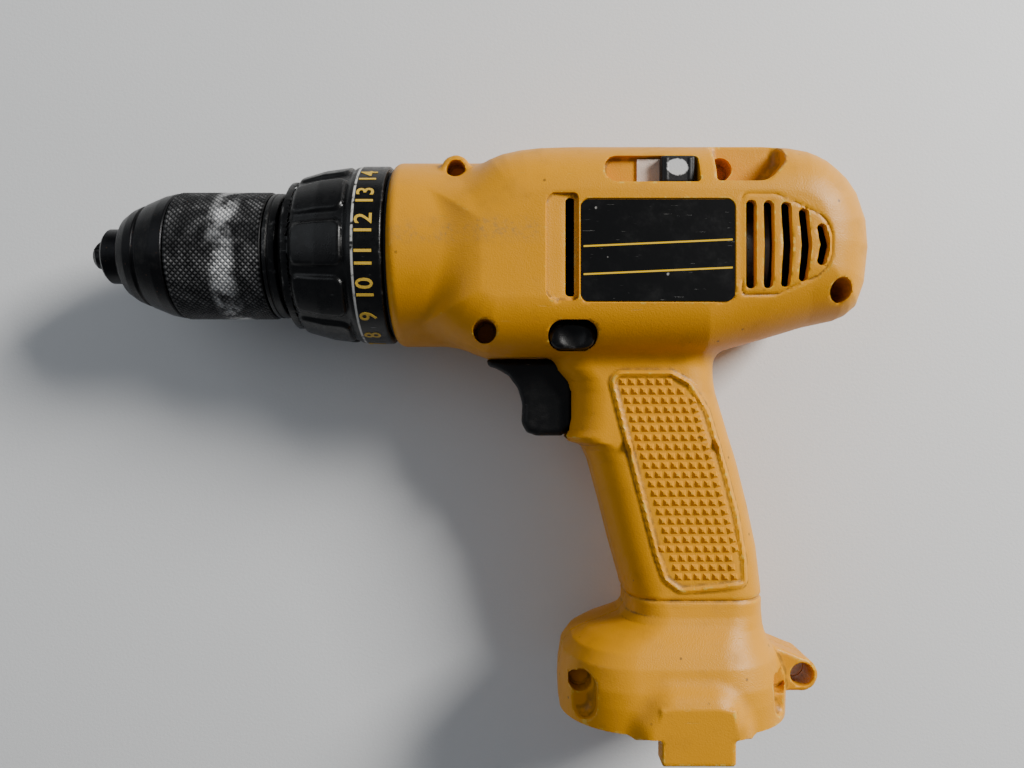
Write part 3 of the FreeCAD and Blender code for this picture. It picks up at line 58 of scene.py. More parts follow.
MM = 0.001
Array = np.ndarray
Reach = Callable[[Array, Array, Array], Array]
Point2 = tuple[float, float]


def spindle_origin() -> Vector:
    """Place of the spindle's own frame: x = 0 at the front of the gear housing, on the spindle axis."""
    joint = next(j for j in frame["joints"] if j["name"] == "spindle_turn")
    return Vector(joint["pos_m"])


ORIGIN = spindle_origin()


def to_row(points: Array) -> Array:
    """Points in millimetres about the spindle, as metres in the drill's frame."""
    return np.asarray(points, dtype=float) * MM + np.array(ORIGIN)


def node_box(name: str) -> tuple[Vector, Vector]:
    """Lowest and highest corner of a CAD node, in millimetres about the spindle."""
    low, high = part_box(name)
    return (Vector(low) - ORIGIN) / MM, (Vector(high) - ORIGIN) / MM


# ------------------------------------------------------------------ solids given by their distance
def smooth_min(a: Array, b: Array, blend: float) -> Array:
    """The smaller of two distances, with a fillet of about the blend's size where they meet."""
    if blend <= 0:
        return np.minimum(a, b)
    mix = np.clip(0.5 + 0.5 * (b - a) / blend, 0, 1)
    return b + (a - b) * mix - blend * mix * (1 - mix)


@dataclass(frozen=True)
class Form:
    """A solid given by its distance in millimetres, negative inside."""

    reach: Reach

    def join(self, other: "Form", blend: float = 0.0) -> "Form":
        """This form and another, blended where they meet."""
        return Form(lambda x, y, z: smooth_min(self.reach(x, y, z), other.reach(x, y, z), blend))

    def cut(self, other: "Form", blend: float = 0.0) -> "Form":
        """This form with another taken away, its rim rounded by the blend."""
        return Form(lambda x, y, z: -smooth_min(-self.reach(x, y, z), other.reach(x, y, z), blend))

    def keep(self, other: "Form", blend: float = 0.0) -> "Form":
        """Only what lies inside both forms."""
        return Form(lambda x, y, z: -smooth_min(-self.reach(x, y, z), -other.reach(x, y, z), blend))

    def grow(self, amount: float) -> "Form":
        """The form with its skin moved outwards."""
        return Form(lambda x, y, z: self.reach(x, y, z) - amount)


def rounded_corner(before: Array, here: Array, after: Array, radius: float, steps: int = 8) -> list[Array]:
    """Points of an arc that rounds a corner of an outline."""
    into = (here - before) / np.linalg.norm(here - before)
    out = (after - here) / np.linalg.norm(after - here)
    turn = math.atan2(into[0] * out[1] - into[1] * out[0], float(into @ out))
    back = abs(radius * math.tan(turn / 2))
    first, last = here - into * back, here + out * back
    side = 1 if turn > 0 else -1
    centre = first + side * radius * np.array([-into[1], into[0]])
    start = math.atan2(*(first - centre)[::-1])
    points = []
    for k in range(steps + 1):
        angle = start + turn * k / steps
        points.append(centre + radius * np.array([math.cos(angle), math.sin(angle)]))
    return points if np.linalg.norm(points[-1] - last) < 1e-3 * max(radius, 1) else [first, last]


def rounded_outline(corners: Sequence[Sequence[float]]) -> Array:
    """Points of a closed outline from corners (a, b) or (a, b, rounding)."""
    spots = [np.array(corner[:2], dtype=float) for corner in corners]
    points: list[Array] = []
    for k, corner in enumerate(corners):
        if len(corner) < 3 or corner[2] <= 0:
            points.append(spots[k])
        else:
            points += rounded_corner(spots[k - 1], spots[k], spots[(k + 1) % len(spots)], corner[2])
    return np.array(points)


def outline_distance(a: Array, b: Array, points: Array) -> Array:
    """Signed distance from places (a, b) to a closed outline, negative inside."""
    nearest: Array | None = None
    inside = np.zeros(np.broadcast(a, b).shape, dtype=bool)
    for (xa, ya), (xb, yb) in zip(points, np.roll(points, -1, axis=0)):
        ex, ey = xb - xa, yb - ya
        wx, wy = a - xa, b - ya
        share = np.clip((wx * ex + wy * ey) / max(ex * ex + ey * ey, 1e-12), 0, 1)
        gap = (wx - ex * share) ** 2 + (wy - ey * share) ** 2
        nearest = gap if nearest is None else np.minimum(nearest, gap)
        crosses = (ya > b) != (yb > b)
        if abs(ey) > 1e-12:
            inside ^= crosses & (wx < ex * wy / ey)
    distance = np.sqrt(nearest)
    return np.where(inside, -distance, distance)


def slab(flat: Array, deep: Array, rounding: float) -> Array:
    """Distance to an extruded outline whose rims are rounded."""
    across, through = flat + rounding, deep + rounding
    outside = np.sqrt(np.maximum(across, 0) ** 2 + np.maximum(through, 0) ** 2)
    return np.minimum(np.maximum(across, through), 0) + outside - rounding


def plate_form(corners: Sequence[Sequence[float]], low: float, high: float, rounding: float = 0.0) -> Form:
    """An outline in the side view, extruded between two heights."""
    points = rounded_outline(corners)
    middle, half = (low + high) / 2, (high - low) / 2
    return Form(lambda x, y, z: slab(outline_distance(x, y, points), np.abs(z - middle) - half, rounding))


def box_form(x: Point2, y: Point2, z: Point2, rounding: float = 0.0) -> Form:
    """A box with rounded edges."""
    spans = (x, y, z)
    middle = [(low + high) / 2 for low, high in spans]
    half = [(high - low) / 2 - rounding for low, high in spans]

    def reach(x: Array, y: Array, z: Array) -> Array:
        gaps = [np.abs(at - mid) - h for at, mid, h in zip((x, y, z), middle, half)]
        outside = np.sqrt(sum(np.maximum(gap, 0) ** 2 for gap in gaps))
        return outside + np.minimum(np.maximum(np.maximum(gaps[0], gaps[1]), gaps[2]), 0) - rounding

    return Form(reach)


def post_form(x0: float, y0: float, radius: float, low: float, high: float, rounding: float = 0.0) -> Form:
    """A round post across the drill."""
    middle, half = (low + high) / 2, (high - low) / 2
    return Form(lambda x, y, z: slab(np.hypot(x - x0, y - y0) - radius, np.abs(z - middle) - half, rounding))


def rod_form(front: float, rear: float, radius: float, rounding: float = 0.0) -> Form:
    """A round bar along the spindle axis."""
    middle, half = (front + rear) / 2, (rear - front) / 2
    return Form(lambda x, y, z: slab(np.hypot(y, z) - radius, np.abs(x - middle) - half, rounding))


def union(forms: Iterable[Form], blend: float = 0.0) -> Form:
    """All the forms together."""
    forms = list(forms)
    whole = forms[0]
    for other in forms[1:]:
        whole = whole.join(other, blend)
    return whole


@dataclass
class Skin:
    """Turns a form into a closed mesh: one vertex for each cell that its surface crosses."""

    low: Sequence[float]
    high: Sequence[float]
    step: float
    nudge: float = 0.02

    def mesh(self, form: Form) -> tuple[Array, Array, Array]:
        """The surface of a form.

        Args:
            form: The solid, in millimetres about the spindle.

        Returns:
            Its vertices, its four-sided faces and how convex the surface is at each vertex.
        """
        axes = [np.arange(a - self.step, b + 2 * self.step, self.step) for a, b in zip(self.low, self.high)]
        gx, gy, gz = (axes[0][:, None, None], axes[1][None, :, None], axes[2][None, None, :])
        values = np.broadcast_to(form.reach(gx, gy, gz), [len(a) for a in axes]).astype(np.float32)
        inside = values < 0
        cells = np.array(inside.shape) - 1
        lookup = np.full(cells.prod(), -1, dtype=np.int64)
        crossings = [self.crossings(values, inside, axes, axis, cells) for axis in range(3)]
        spots = np.concatenate([c[0] for c in crossings])
        owners = np.concatenate([c[1] for c in crossings])
        normals = self.normals(form, spots)
        used = np.unique(owners)
        lookup[used] = np.arange(len(used))
        vertices = self.place(spots, normals, lookup[owners], used, axes, cells)
        faces = np.concatenate([self.faces(c, lookup) for c in crossings])
        return vertices, faces, self.convexity(form, vertices)

    def crossings(self, values: Array, inside: Array, axes: list[Array], axis: int, cells: Array) -> tuple:
        """Places where the surface crosses the grid's edges along one axis, and the four cells round each."""
        first = [slice(None)] * 3
        second = [slice(None)] * 3
        first[axis], second[axis] = slice(0, -1), slice(1, None)
        a_in, b_in = inside[tuple(first)], inside[tuple(second)]
        where = np.argwhere(a_in != b_in)
        others = [k for k in range(3) if k != axis]
        limit = cells[others]
        fits = np.all((where[:, others] > 0) & (where[:, others] < limit), axis=1)
        where = where[fits]
        index = tuple(where.T)
        value_a, value_b = values[tuple(first)][index], values[tuple(second)][index]
        share = value_a / (value_a - value_b)
        spots = np.stack([axes[k][where[:, k]] for k in range(3)], axis=1)
        spots[:, axis] += share * self.step
        ring = []
        for da, db in ((-1, -1), (0, -1), (0, 0), (-1, 0)):
            cell = where.copy()
            cell[:, others[0]] += da
            cell[:, others[1]] += db
            ring.append(np.ravel_multi_index(cell.T, cells))
        return spots, np.stack(ring, axis=1), a_in[index] ^ (axis == 1)

    def normals(self, form: Form, spots: Array) -> Array:
        """Directions in which a form's distance grows."""
        x, y, z = spots.T
        n = self.nudge
        slope = np.stack([form.reach(x + n, y, z) - form.reach(x - n, y, z),
                          form.reach(x, y + n, z) - form.reach(x, y - n, z),
                          form.reach(x, y, z + n) - form.reach(x, y, z - n)], axis=1)
        return slope / np.maximum(np.linalg.norm(slope, axis=1, keepdims=True), 1e-9)

    def place(self, spots: Array, normals: Array, owner: Array, used: Array, axes: list[Array],
              cells: Array) -> Array:
        """Vertices that fit the crossings' tangent planes, so that edges stay crisp."""
        count = len(used)
        flat = owner.ravel()
        spots4, normals4 = np.repeat(spots, 4, axis=0), np.repeat(normals, 4, axis=0)
        number = np.bincount(flat, minlength=count)[:, None]
        middle = np.stack([np.bincount(flat, spots4[:, k], count) for k in range(3)], axis=1) / number
        offset = np.einsum("ij,ij->i", normals4, spots4 - middle[flat])
        push = np.stack([np.bincount(flat, normals4[:, k] * offset, count) for k in range(3)], axis=1)
        system = np.zeros((count, 3, 3))
        for i in range(3):
            for j in range(i, 3):
                total = np.bincount(flat, normals4[:, i] * normals4[:, j], count)
                system[:, i, j] = total
                system[:, j, i] = total
        system += np.eye(3) * 0.08 * number[:, :, None]
        move = np.linalg.solve(system, push[:, :, None])[:, :, 0]
        corner = np.stack([axes[k][index] for k, index in enumerate(np.unravel_index(used, cells))], axis=1)
        slack = 0.05 * self.step
        return np.clip(middle + move, corner - slack, corner + self.step + slack)

    def faces(self, crossing: tuple, lookup: Array) -> Array:
        """Four-sided faces round the crossed edges, turned outwards."""
        _, ring, flip = crossing
        quads = lookup[ring]
        return np.where(flip[:, None], quads, quads[:, ::-1])

    def convexity(self, form: Form, vertices: Array) -> Array:
        """Above 0.5 on outer edges, below it in corners, from the distance just off the surface."""
        normal = self.normals(form, vertices)
        size = 1.2
        side = np.cross(normal, np.where(np.abs(normal[:, :1]) < 0.8, [[1.0, 0, 0]], [[0, 1.0, 0]]))
        side /= np.linalg.norm(side, axis=1, keepdims=True)
        other = np.cross(normal, side)
        total = np.zeros(len(vertices))
        for way in (side, -side, other, -other):
            total += form.reach(*(vertices + way * size).T)
        return np.clip(0.5 + total / (4 * size), 0, 1)


def mesh_object(name: str, vertices: Array, faces: Sequence, marks: dict[str, Array] | None = None,
                sharp: float | None = None) -> bpy.types.Object:
    """A mesh object at the origin.

    Args:
        name: Its name.
        vertices: Places in millimetres about the spindle.
        faces: Vertex numbers of each face.
        marks: Named values for each vertex, for the materials.
        sharp: Angle in degrees past which an edge shades as a crease, or None for a smooth surface.

    Returns:
        The linked object.
    """
    mesh = bpy.data.meshes.new(name)
    mesh.from_pydata(to_row(vertices).tolist(), [], [list(map(int, f)) for f in faces])
    for mark, values in (marks or {}).items():
        attribute = mesh.attributes.new(mark, "FLOAT", "POINT")
        attribute.data.foreach_set("value", np.asarray(values, dtype=np.float32))
    mesh.shade_smooth()
    if sharp is not None:
        mesh.set_sharp_from_angle(angle=math.radians(sharp))
    mesh.update()
    piece = bpy.data.objects.new(name, mesh)
    bpy.context.scene.collection.objects.link(piece)
    return piece


def thinned(piece: bpy.types.Object, limit: int) -> bpy.types.Object:
    """A piece with flat stretches thinned until it has at most the given number of triangles."""
    triangles = sum(len(p.vertices) - 2 for p in piece.data.polygons)
    if triangles <= limit:
        return piece
    modifier = piece.modifiers.new("thin", "DECIMATE")
    modifier.ratio = limit / triangles
    return applied(piece)


def applied(piece: bpy.types.Object) -> bpy.types.Object:
    """The piece with its modifiers turned into plain mesh."""
    graph = bpy.context.evaluated_depsgraph_get()
    mesh = bpy.data.meshes.new_from_object(piece.evaluated_get(graph), depsgraph=graph)
    piece.modifiers.clear()
    old = piece.data
    piece.data = mesh
    bpy.data.meshes.remove(old)
    mesh.name = piece.name
    return piece


# ------------------------------------------------------------------ shader graphs
class Sock:
    """A shader socket that arithmetic can be written with."""

    def __init__(self, graph: "Graph", socket: bpy.types.NodeSocket):
        self.graph = graph
        self.socket = socket

    def _math(self, operation: str, a: "Sock | float", b: "Sock | float") -> "Sock":
        return self.graph.node("ShaderNodeMath", {0: a, 1: b}, operation=operation)

    def __add__(self, other: "Sock | float") -> "Sock":
        return self._math("ADD", self, other)

    def __radd__(self, other: float) -> "Sock":
        return self._math("ADD", other, self)

    def __sub__(self, other: "Sock | float") -> "Sock":
        return self._math("SUBTRACT", self, other)

    def __rsub__(self, other: float) -> "Sock":
        return self._math("SUBTRACT", other, self)

    def __mul__(self, other: "Sock | float") -> "Sock":
        return self._math("MULTIPLY", self, other)

    def __rmul__(self, other: float) -> "Sock":
        return self._math("MULTIPLY", other, self)

    def __truediv__(self, other: "Sock | float") -> "Sock":
        return self._math("DIVIDE", self, other)

    def __rtruediv__(self, other: float) -> "Sock":
        return self._math("DIVIDE", other, self)

    def power(self, other: "Sock | float") -> "Sock":
        """This value raised to a power."""
        return self._math("POWER", self, other)

    def ramp(self, low: float, high: float) -> "Sock":
        """0 below one level, 1 above another, smooth between; the levels may be swapped."""
        if low > high:
            return 1 - self.ramp(high, low)
        return self.graph.node("ShaderNodeMapRange", {"Value": self, "From Min": low, "From Max": high},
                               interpolation_type="SMOOTHSTEP")

    def within(self, low: float, high: float, soft: float) -> "Sock":
        """1 between two levels and 0 outside them."""
        return self.ramp(low - soft, low + soft) * self.ramp(high + soft, high - soft)


class Graph:
    """The node tree of one material."""

    def __init__(self, name: str):
        self.material = bpy.data.materials.new(name)
        self.material.use_nodes = True
        self.tree = self.material.node_tree
        self.surface = self.tree.nodes["Principled BSDF"]

    def node(self, kind: str, inputs: dict | None = None, output: int | str = 0, **settings: object) -> Sock:
        """Adds a node with its inputs and settings, and gives one of its outputs."""
        made = self.tree.nodes.new(kind)
        for name, value in settings.items():
            setattr(made, name, value)
        for name, value in (inputs or {}).items():
            self.feed(made.inputs[name], value)
        return Sock(self, made.outputs[output])

    def feed(self, into: bpy.types.NodeSocket, value: object) -> None:
        """Links a socket to an input, or sets the input."""
        if isinstance(value, Sock):
            self.tree.links.new(value.socket, into)
        else:
            into.default_value = value

    def place(self) -> Sock:
        """The place on the object, in metres."""
        return self.node("ShaderNodeTexCoord", output="Object")

    def axis(self, name: str) -> Sock:
        """One coordinate in millimetres about the spindle."""
        apart = self.node("ShaderNodeSeparateXYZ", {0: self.place()}, output="XYZ".index(name))
        return (apart - ORIGIN["XYZ".index(name)]) * (1 / MM)

    def noise(self, size_mm: float, detail: float = 4.0, rough: float = 0.55,
              stretch: Sequence[float] = (1, 1, 1)) -> Sock:
        """Soft noise whose features are about the given size."""
        where = self.node("ShaderNodeVectorMath", {0: self.place(), 1: tuple(stretch)}, operation="MULTIPLY")
        sizes = {"Vector": where, "Scale": 1 / (size_mm * MM), "Detail": detail, "Roughness": rough}
        return self.node("ShaderNodeTexNoise", sizes, output="Fac")

    def cells(self, size_mm: float) -> Sock:
        """Distance to scattered points."""
        return self.node("ShaderNodeTexVoronoi", {"Vector": self.place(), "Scale": 1 / (size_mm * MM)},
                         output="Distance")

    def mark(self, name: str) -> Sock:
        """A value stored on the mesh."""
        return self.node("ShaderNodeAttribute", output="Fac", attribute_name=name)

    def mix(self, share: Sock | float, a: object, b: object) -> Sock:
        """Blends two colours."""
        made = self.tree.nodes.new("ShaderNodeMix")
        made.data_type = "RGBA"
        for index, value in ((0, share), (6, a), (7, b)):
            value = (*value, 1.0) if isinstance(value, tuple) else value
            self.feed(made.inputs[index], value)
        return Sock(self, made.outputs[2])

    def scratches(self, size_mm: float, thin: float, angle: float) -> Sock:
        """Fine straight scratches that run one way, in patches."""
        turned = self.node("ShaderNodeMapping", {"Vector": self.place(), "Rotation": (0, 0, angle),
                                                 "Scale": (1, 22, 5)})
        lines = self.node("ShaderNodeTexNoise", {"Vector": turned, "Scale": 1 / (size_mm * MM), "Detail": 2.0,
                                                 "Distortion": 0.25}, output="Fac")
        return lines.ramp(1 - thin, 1 - thin + 0.03) * self.noise(size_mm * 0.9, 2).ramp(0.5, 0.62)

    def finish(self, colour: object, rough: object, bump: Sock | None = None, depth_mm: float = 0.05,
               metal: object = 0.0, coat: float = 0.0) -> bpy.types.Material:
        """Feeds the surface: colour, roughness, metal and relief."""
        for name, value in (("Base Color", colour), ("Roughness", rough), ("Metallic", metal)):
            value = (*value, 1.0) if isinstance(value, tuple) else value
            self.feed(self.surface.inputs[name], value)
        self.surface.inputs["Coat Weight"].default_value = coat
        self.surface.inputs["Specular IOR Level"].default_value = 0.3
        if bump is not None:
            relief = self.node("ShaderNodeBump", {"Height": bump, "Distance": depth_mm * MM, "Strength": 1.0})
            self.feed(self.surface.inputs["Normal"], relief)
        return self.material


Colour = tuple[float, float, float]


@dataclass(frozen=True)
class Plastic:
    """Moulded plastic with a fine spark texture, scuffs, dirt and painted shade in its corners and wear on
    its edges.
    """

    name: str
    colour: Colour
    worn: Colour
    # Dark colour for the random grime patches and for the painted shade in concave corners.
    dirt_and_shade: Colour = (0.05, 0.035, 0.015)
    rough: float = 0.42
    grain_mm: float = 0.45
    # How strongly that dark colour is mixed in, for grime patches and painted corner shade alike.
    dirt_and_shade_share: float = 0.55
    marked: bool = True
    scuffed: bool = False

    def build(self) -> bpy.types.Material:
        """The material."""
        g = Graph(self.name)
        tone = g.noise(30, 3)
        colour = g.mix(tone.ramp(0.3, 0.75) * 0.35, self.colour, tuple(c * 0.82 for c in self.colour))
        grime = g.noise(9, 6, 0.65).ramp(0.5, 0.78) * 0.3
        edge = g.mark("convex") if self.marked else g.noise(4, 3)
        # Darker in concave corners: partly dirt and partly painted shade in place of occlusion.
        corner = edge.ramp(0.47, 0.36) if self.marked else grime
        # Mixes in the dark colour over random grime patches and the painted corner shade.
        colour = g.mix((grime + corner * g.noise(3, 4).ramp(0.25, 0.6)) * self.dirt_and_shade_share, colour, self.dirt_and_shade)
        if self.scuffed:
            colour = g.mix(self.scuffs(g), colour, (0.30, 0.19, 0.07))
        specks = g.cells(7.0).ramp(0.09, 0.05) * g.noise(14, 2).ramp(0.5, 0.6)
        colour = g.mix(specks * 0.7, colour, (0.06, 0.04, 0.02))
        lines = g.scratches(16, 0.27, 0.5) + g.scratches(11, 0.27, -0.9)
        rub = edge.ramp(0.56, 0.66) * g.noise(2.5, 5, 0.7).ramp(0.5, 0.62) if self.marked else lines * 0.5
        colour = g.mix((lines * 0.55 + rub * 0.75).ramp(0.0, 1.0), colour, self.worn)
        rough = self.rough + (g.noise(6, 4) - 0.5) * 0.22 + grime * 0.3 + lines * 0.1
        relief = g.noise(self.grain_mm, 2) - lines * 0.6
        return g.finish(colour, rough, relief, 0.09)

    @staticmethod
    def scuffs(g: Graph) -> Sock:
        """Where the upper side of the barrel has been rubbed dirty."""
        along, up, side = g.axis("X"), g.axis("Y"), g.axis("Z")
        fine = g.noise(1.3, 4, 0.75).ramp(0.45, 0.7)
        barrel = along.within(2, 47, 3) * up.within(0.0, 6.5, 2.5) * g.noise(10, 3).ramp(0.38, 0.6)
        return barrel * side.ramp(8, 16) * (fine * 0.6 + 0.12)


@dataclass(frozen=True)
class Metal:
    """Turned or ground metal with fine lines round the spindle axis, stains and rubbed edges."""

    name: str
    colour: Colour
    stain: Colour
    rough: float = 0.35
    metal: float = 1.0
    round_lines: bool = True

    def build(self) -> bpy.types.Material:
        """The material."""
        g = Graph(self.name)
        lines = g.noise(0.5, 2, 0.5, (6, 0.6, 0.6)) if self.round_lines else g.noise(0.6, 3)
        blotch = g.noise(7, 5, 0.62)
        colour = g.mix(blotch.ramp(0.48, 0.72) * 0.6, self.colour, self.stain)
        spots = g.cells(1.7).ramp(0.16, 0.08) * g.noise(5, 2).ramp(0.5, 0.6)
        colour = g.mix(spots, colour, (0.1, 0.05, 0.03))
        rough = self.rough + (lines - 0.5) * 0.25 + blotch.ramp(0.5, 0.8) * 0.2
        return g.finish(colour, rough, lines + blotch * 0.3, 0.03, metal=self.metal)


@dataclass(frozen=True)
class KnurledSteel:
    """Blackened steel whose knurl is rubbed bright in a band, with a haze of dust."""

    name: str
    band: Point2 = (-57.0, -49.5)

    def build(self) -> bpy.types.Material:
        """The material."""
        g = Graph(self.name)
        along = g.axis("X")
        rubbed = along.within(*self.band, 1.6) * g.noise(7, 4, 0.6).ramp(0.38, 0.58)
        dust = g.noise(5, 5, 0.7).ramp(0.42, 0.7)
        tips = g.mark("tip")
        colour = g.mix(dust * 0.35, (0.008, 0.008, 0.0085), (0.06, 0.06, 0.06))
        colour = g.mix(tips * (0.16 + dust * 0.4), colour, (0.3, 0.3, 0.305))
        colour = g.mix(rubbed * (0.45 + tips * 0.5), colour, (0.62, 0.62, 0.62))
        rough = 0.36 + dust * 0.25
        return g.finish(colour, rough, g.noise(0.7, 3), 0.03, metal=0.75)


@dataclass(frozen=True)
class BlackPlastic:
    """Black moulded plastic, grey where it is rubbed, with a haze of dust."""

    name: str
    rough: float = 0.36
    band: Point2 | None = None

    def build(self) -> bpy.types.Material:
        """The material."""
        g = Graph(self.name)
        edge = g.mark("convex")
        haze = g.noise(6, 5, 0.7).ramp(0.45, 0.8)
        colour = g.mix(haze * 0.2, (0.002, 0.002, 0.0022), (0.02, 0.019, 0.018))
        rubbed = edge.ramp(0.58, 0.74) * g.noise(3, 4, 0.7).ramp(0.5, 0.7) * 0.6
        lines = g.scratches(8, 0.29, 0.9)
        colour = g.mix((rubbed * 0.6 + lines * 0.5).ramp(0, 1), colour, (0.3, 0.3, 0.3))
        if self.band is not None:
            ring = g.axis("X").within(*self.band, 0.16) * g.noise(3.2, 4, 0.7).ramp(0.34, 0.5)
            colour = g.mix(ring * 0.9, colour, (0.62, 0.61, 0.58))
        rough = self.rough + (g.noise(3, 4) - 0.5) * 0.25 + haze * 0.1
        return g.finish(colour, rough, g.noise(0.4, 2) - lines * 0.5, 0.05)


@dataclass(frozen=True)
class WornKnob:
    """Black plastic whose top is worn to a pale patch."""

    name: str
    middle: tuple[float, float, float] = (88.9, 22.6, 29.2)

    def build(self) -> bpy.types.Material:
        """The material."""
        g = Graph(self.name)
        along, up = g.axis("X") - self.middle[0], g.axis("Y") - self.middle[1]
        away = (along * along * 0.75 + up * up * 1.25).power(0.5) + (g.noise(2.2, 4, 0.7) - 0.5) * 2.4
        patch = away.ramp(3.0, 2.6) * g.axis("Z").ramp(28.3, 29.0)
        colour = g.mix(patch, (0.008, 0.008, 0.009), (0.55, 0.55, 0.55))
        return g.finish(colour, 0.4 + g.noise(2, 3) * 0.2, g.noise(0.5, 3) - patch * 0.5, 0.06)


@dataclass(frozen=True)
class LabelFilm:
    """Glossy black film with two thin yellow lines and no words."""

    name: str
    lines: tuple[float, float] = (-1.0, -9.4)
    tilt: float = 0.045
    middle: float = 82.0
    width: float = 0.5
    span: Point2 = (60.2, 104.8)

    def build(self) -> bpy.types.Material:
        """The material."""
        g = Graph(self.name)
        along, up = g.axis("X"), g.axis("Y")
        up = up - (along - self.middle) * self.tilt
        ink: Sock | float = 0.0
        for height in self.lines:
            ink = up.within(height - self.width / 2, height + self.width / 2, 0.06) + ink
        ink = ink * along.within(*self.span, 0.1)
        wear = g.cells(5.5).ramp(0.1, 0.06) * g.noise(9, 3).ramp(0.5, 0.56)
        haze = g.noise(8, 5, 0.7).ramp(0.45, 0.85)
        lines = g.scratches(9, 0.28, 0.3) + g.scratches(6, 0.3, -1.0)
        colour = g.mix(haze * 0.1, (0.002, 0.002, 0.0022), (0.02, 0.019, 0.018))
        colour = g.mix(ink, colour, (0.8, 0.5, 0.03))
        colour = g.mix((lines * 0.4 + wear * 0.8).ramp(0, 1), colour, (0.34, 0.33, 0.31))
        rough = 0.3 + haze * 0.15 + lines * 0.2
        return g.finish(colour, rough, g.noise(1.2, 3) - lines, 0.02, coat=0.05)


@dataclass(frozen=True)
class Floor:
    """A pale painted table top with a few crumbs of dirt."""

    name: str

    def build(self) -> bpy.types.Material:
        """The material."""
        g = Graph(self.name)
        tone = g.noise(140, 3).ramp(0.3, 0.7)
        colour = g.mix(tone * 0.5, (0.74, 0.745, 0.75), (0.70, 0.705, 0.71))
        crumbs = g.cells(60.0).ramp(0.022, 0.012) * g.noise(50, 2).ramp(0.5, 0.52)
        colour = g.mix(crumbs, colour, (0.12, 0.08, 0.05))
        return g.finish(colour, 0.55 + g.noise(20, 3) * 0.1, g.noise(1.1, 4, 0.6), 0.08)


class Tone(Enum):
    """The record's material slots, each with the finish that shows it."""

    YELLOW = "yellow_shell"
    BLACK = "black_plastic"
    LABEL = "label_film"
    CHUCK = "chuck_steel"
    BRIGHT = "bright_steel"
    SCREW = "screw_steel"
    GEAR = "gear_steel"
    CASE = "case_plastic"
    COPPER = "copper"
    MAGNET = "magnet"
    CARBON = "carbon"
    BRASS = "contact_brass"
    LEAD = "lead_insulation"
    ZINC = "zinc_can"


RUST = (0.12, 0.055, 0.03)
GREY = (0.1, 0.1, 0.1)
FINISHES = {
    Tone.YELLOW: Plastic("yellow_shell", (0.68, 0.285, 0.0), (0.66, 0.42, 0.06), scuffed=True),
    Tone.BLACK: BlackPlastic("black_plastic"),
    Tone.LABEL: LabelFilm("label_film"),
    Tone.CHUCK: Metal("chuck_steel", (0.012, 0.012, 0.013), (0.05, 0.048, 0.045), 0.34, 0.8),
    Tone.BRIGHT: Metal("bright_steel", (0.5, 0.5, 0.51), (0.3, 0.29, 0.27)),
    Tone.SCREW: Metal("screw_steel", (0.14, 0.12, 0.1), RUST, 0.45, 0.9, False),
    Tone.GEAR: Metal("gear_steel", (0.36, 0.36, 0.37), (0.15, 0.13, 0.09), 0.4),
    Tone.CASE: Plastic("case_plastic", (0.03, 0.03, 0.032), (0.2, 0.2, 0.2), rough=0.5, marked=False),
    Tone.COPPER: Metal("copper", (0.62, 0.25, 0.1), (0.3, 0.1, 0.05), 0.35, 1.0, False),
    Tone.MAGNET: Metal("magnet", (0.04, 0.04, 0.042), GREY, 0.6, 0.3, False),
    Tone.CARBON: Metal("carbon", (0.02, 0.02, 0.02), (0.06, 0.06, 0.06), 0.55, 0.1, False),
    Tone.BRASS: Metal("contact_brass", (0.7, 0.5, 0.22), (0.3, 0.2, 0.09), 0.3, 1.0, False),
    Tone.LEAD: Plastic("lead_insulation", (0.35, 0.015, 0.01), (0.4, 0.1, 0.08), rough=0.5, marked=False),
    Tone.ZINC: Metal("zinc_can", (0.2, 0.2, 0.19), (0.1, 0.1, 0.09), 0.5),
}


class Paint:
    """Builds each material once."""

    made: dict[str, bpy.types.Material] = {}

    @classmethod
    def of(cls, finish: object) -> bpy.types.Material:
        """The material of a finish."""
        if finish.name not in cls.made:
            cls.made[finish.name] = finish.build()
        return cls.made[finish.name]


def dress(piece: bpy.types.Object, finish: object, tone: Tone, body: str,
          *stands_for: str) -> bpy.types.Object:
    """Gives a piece its material and body, and hides the CAD nodes it stands for."""
    piece.data.materials.clear()
    piece.data.materials.append(Paint.of(finish))
    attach(piece, body)
    if stands_for:
        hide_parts(*stands_for)
    return piece


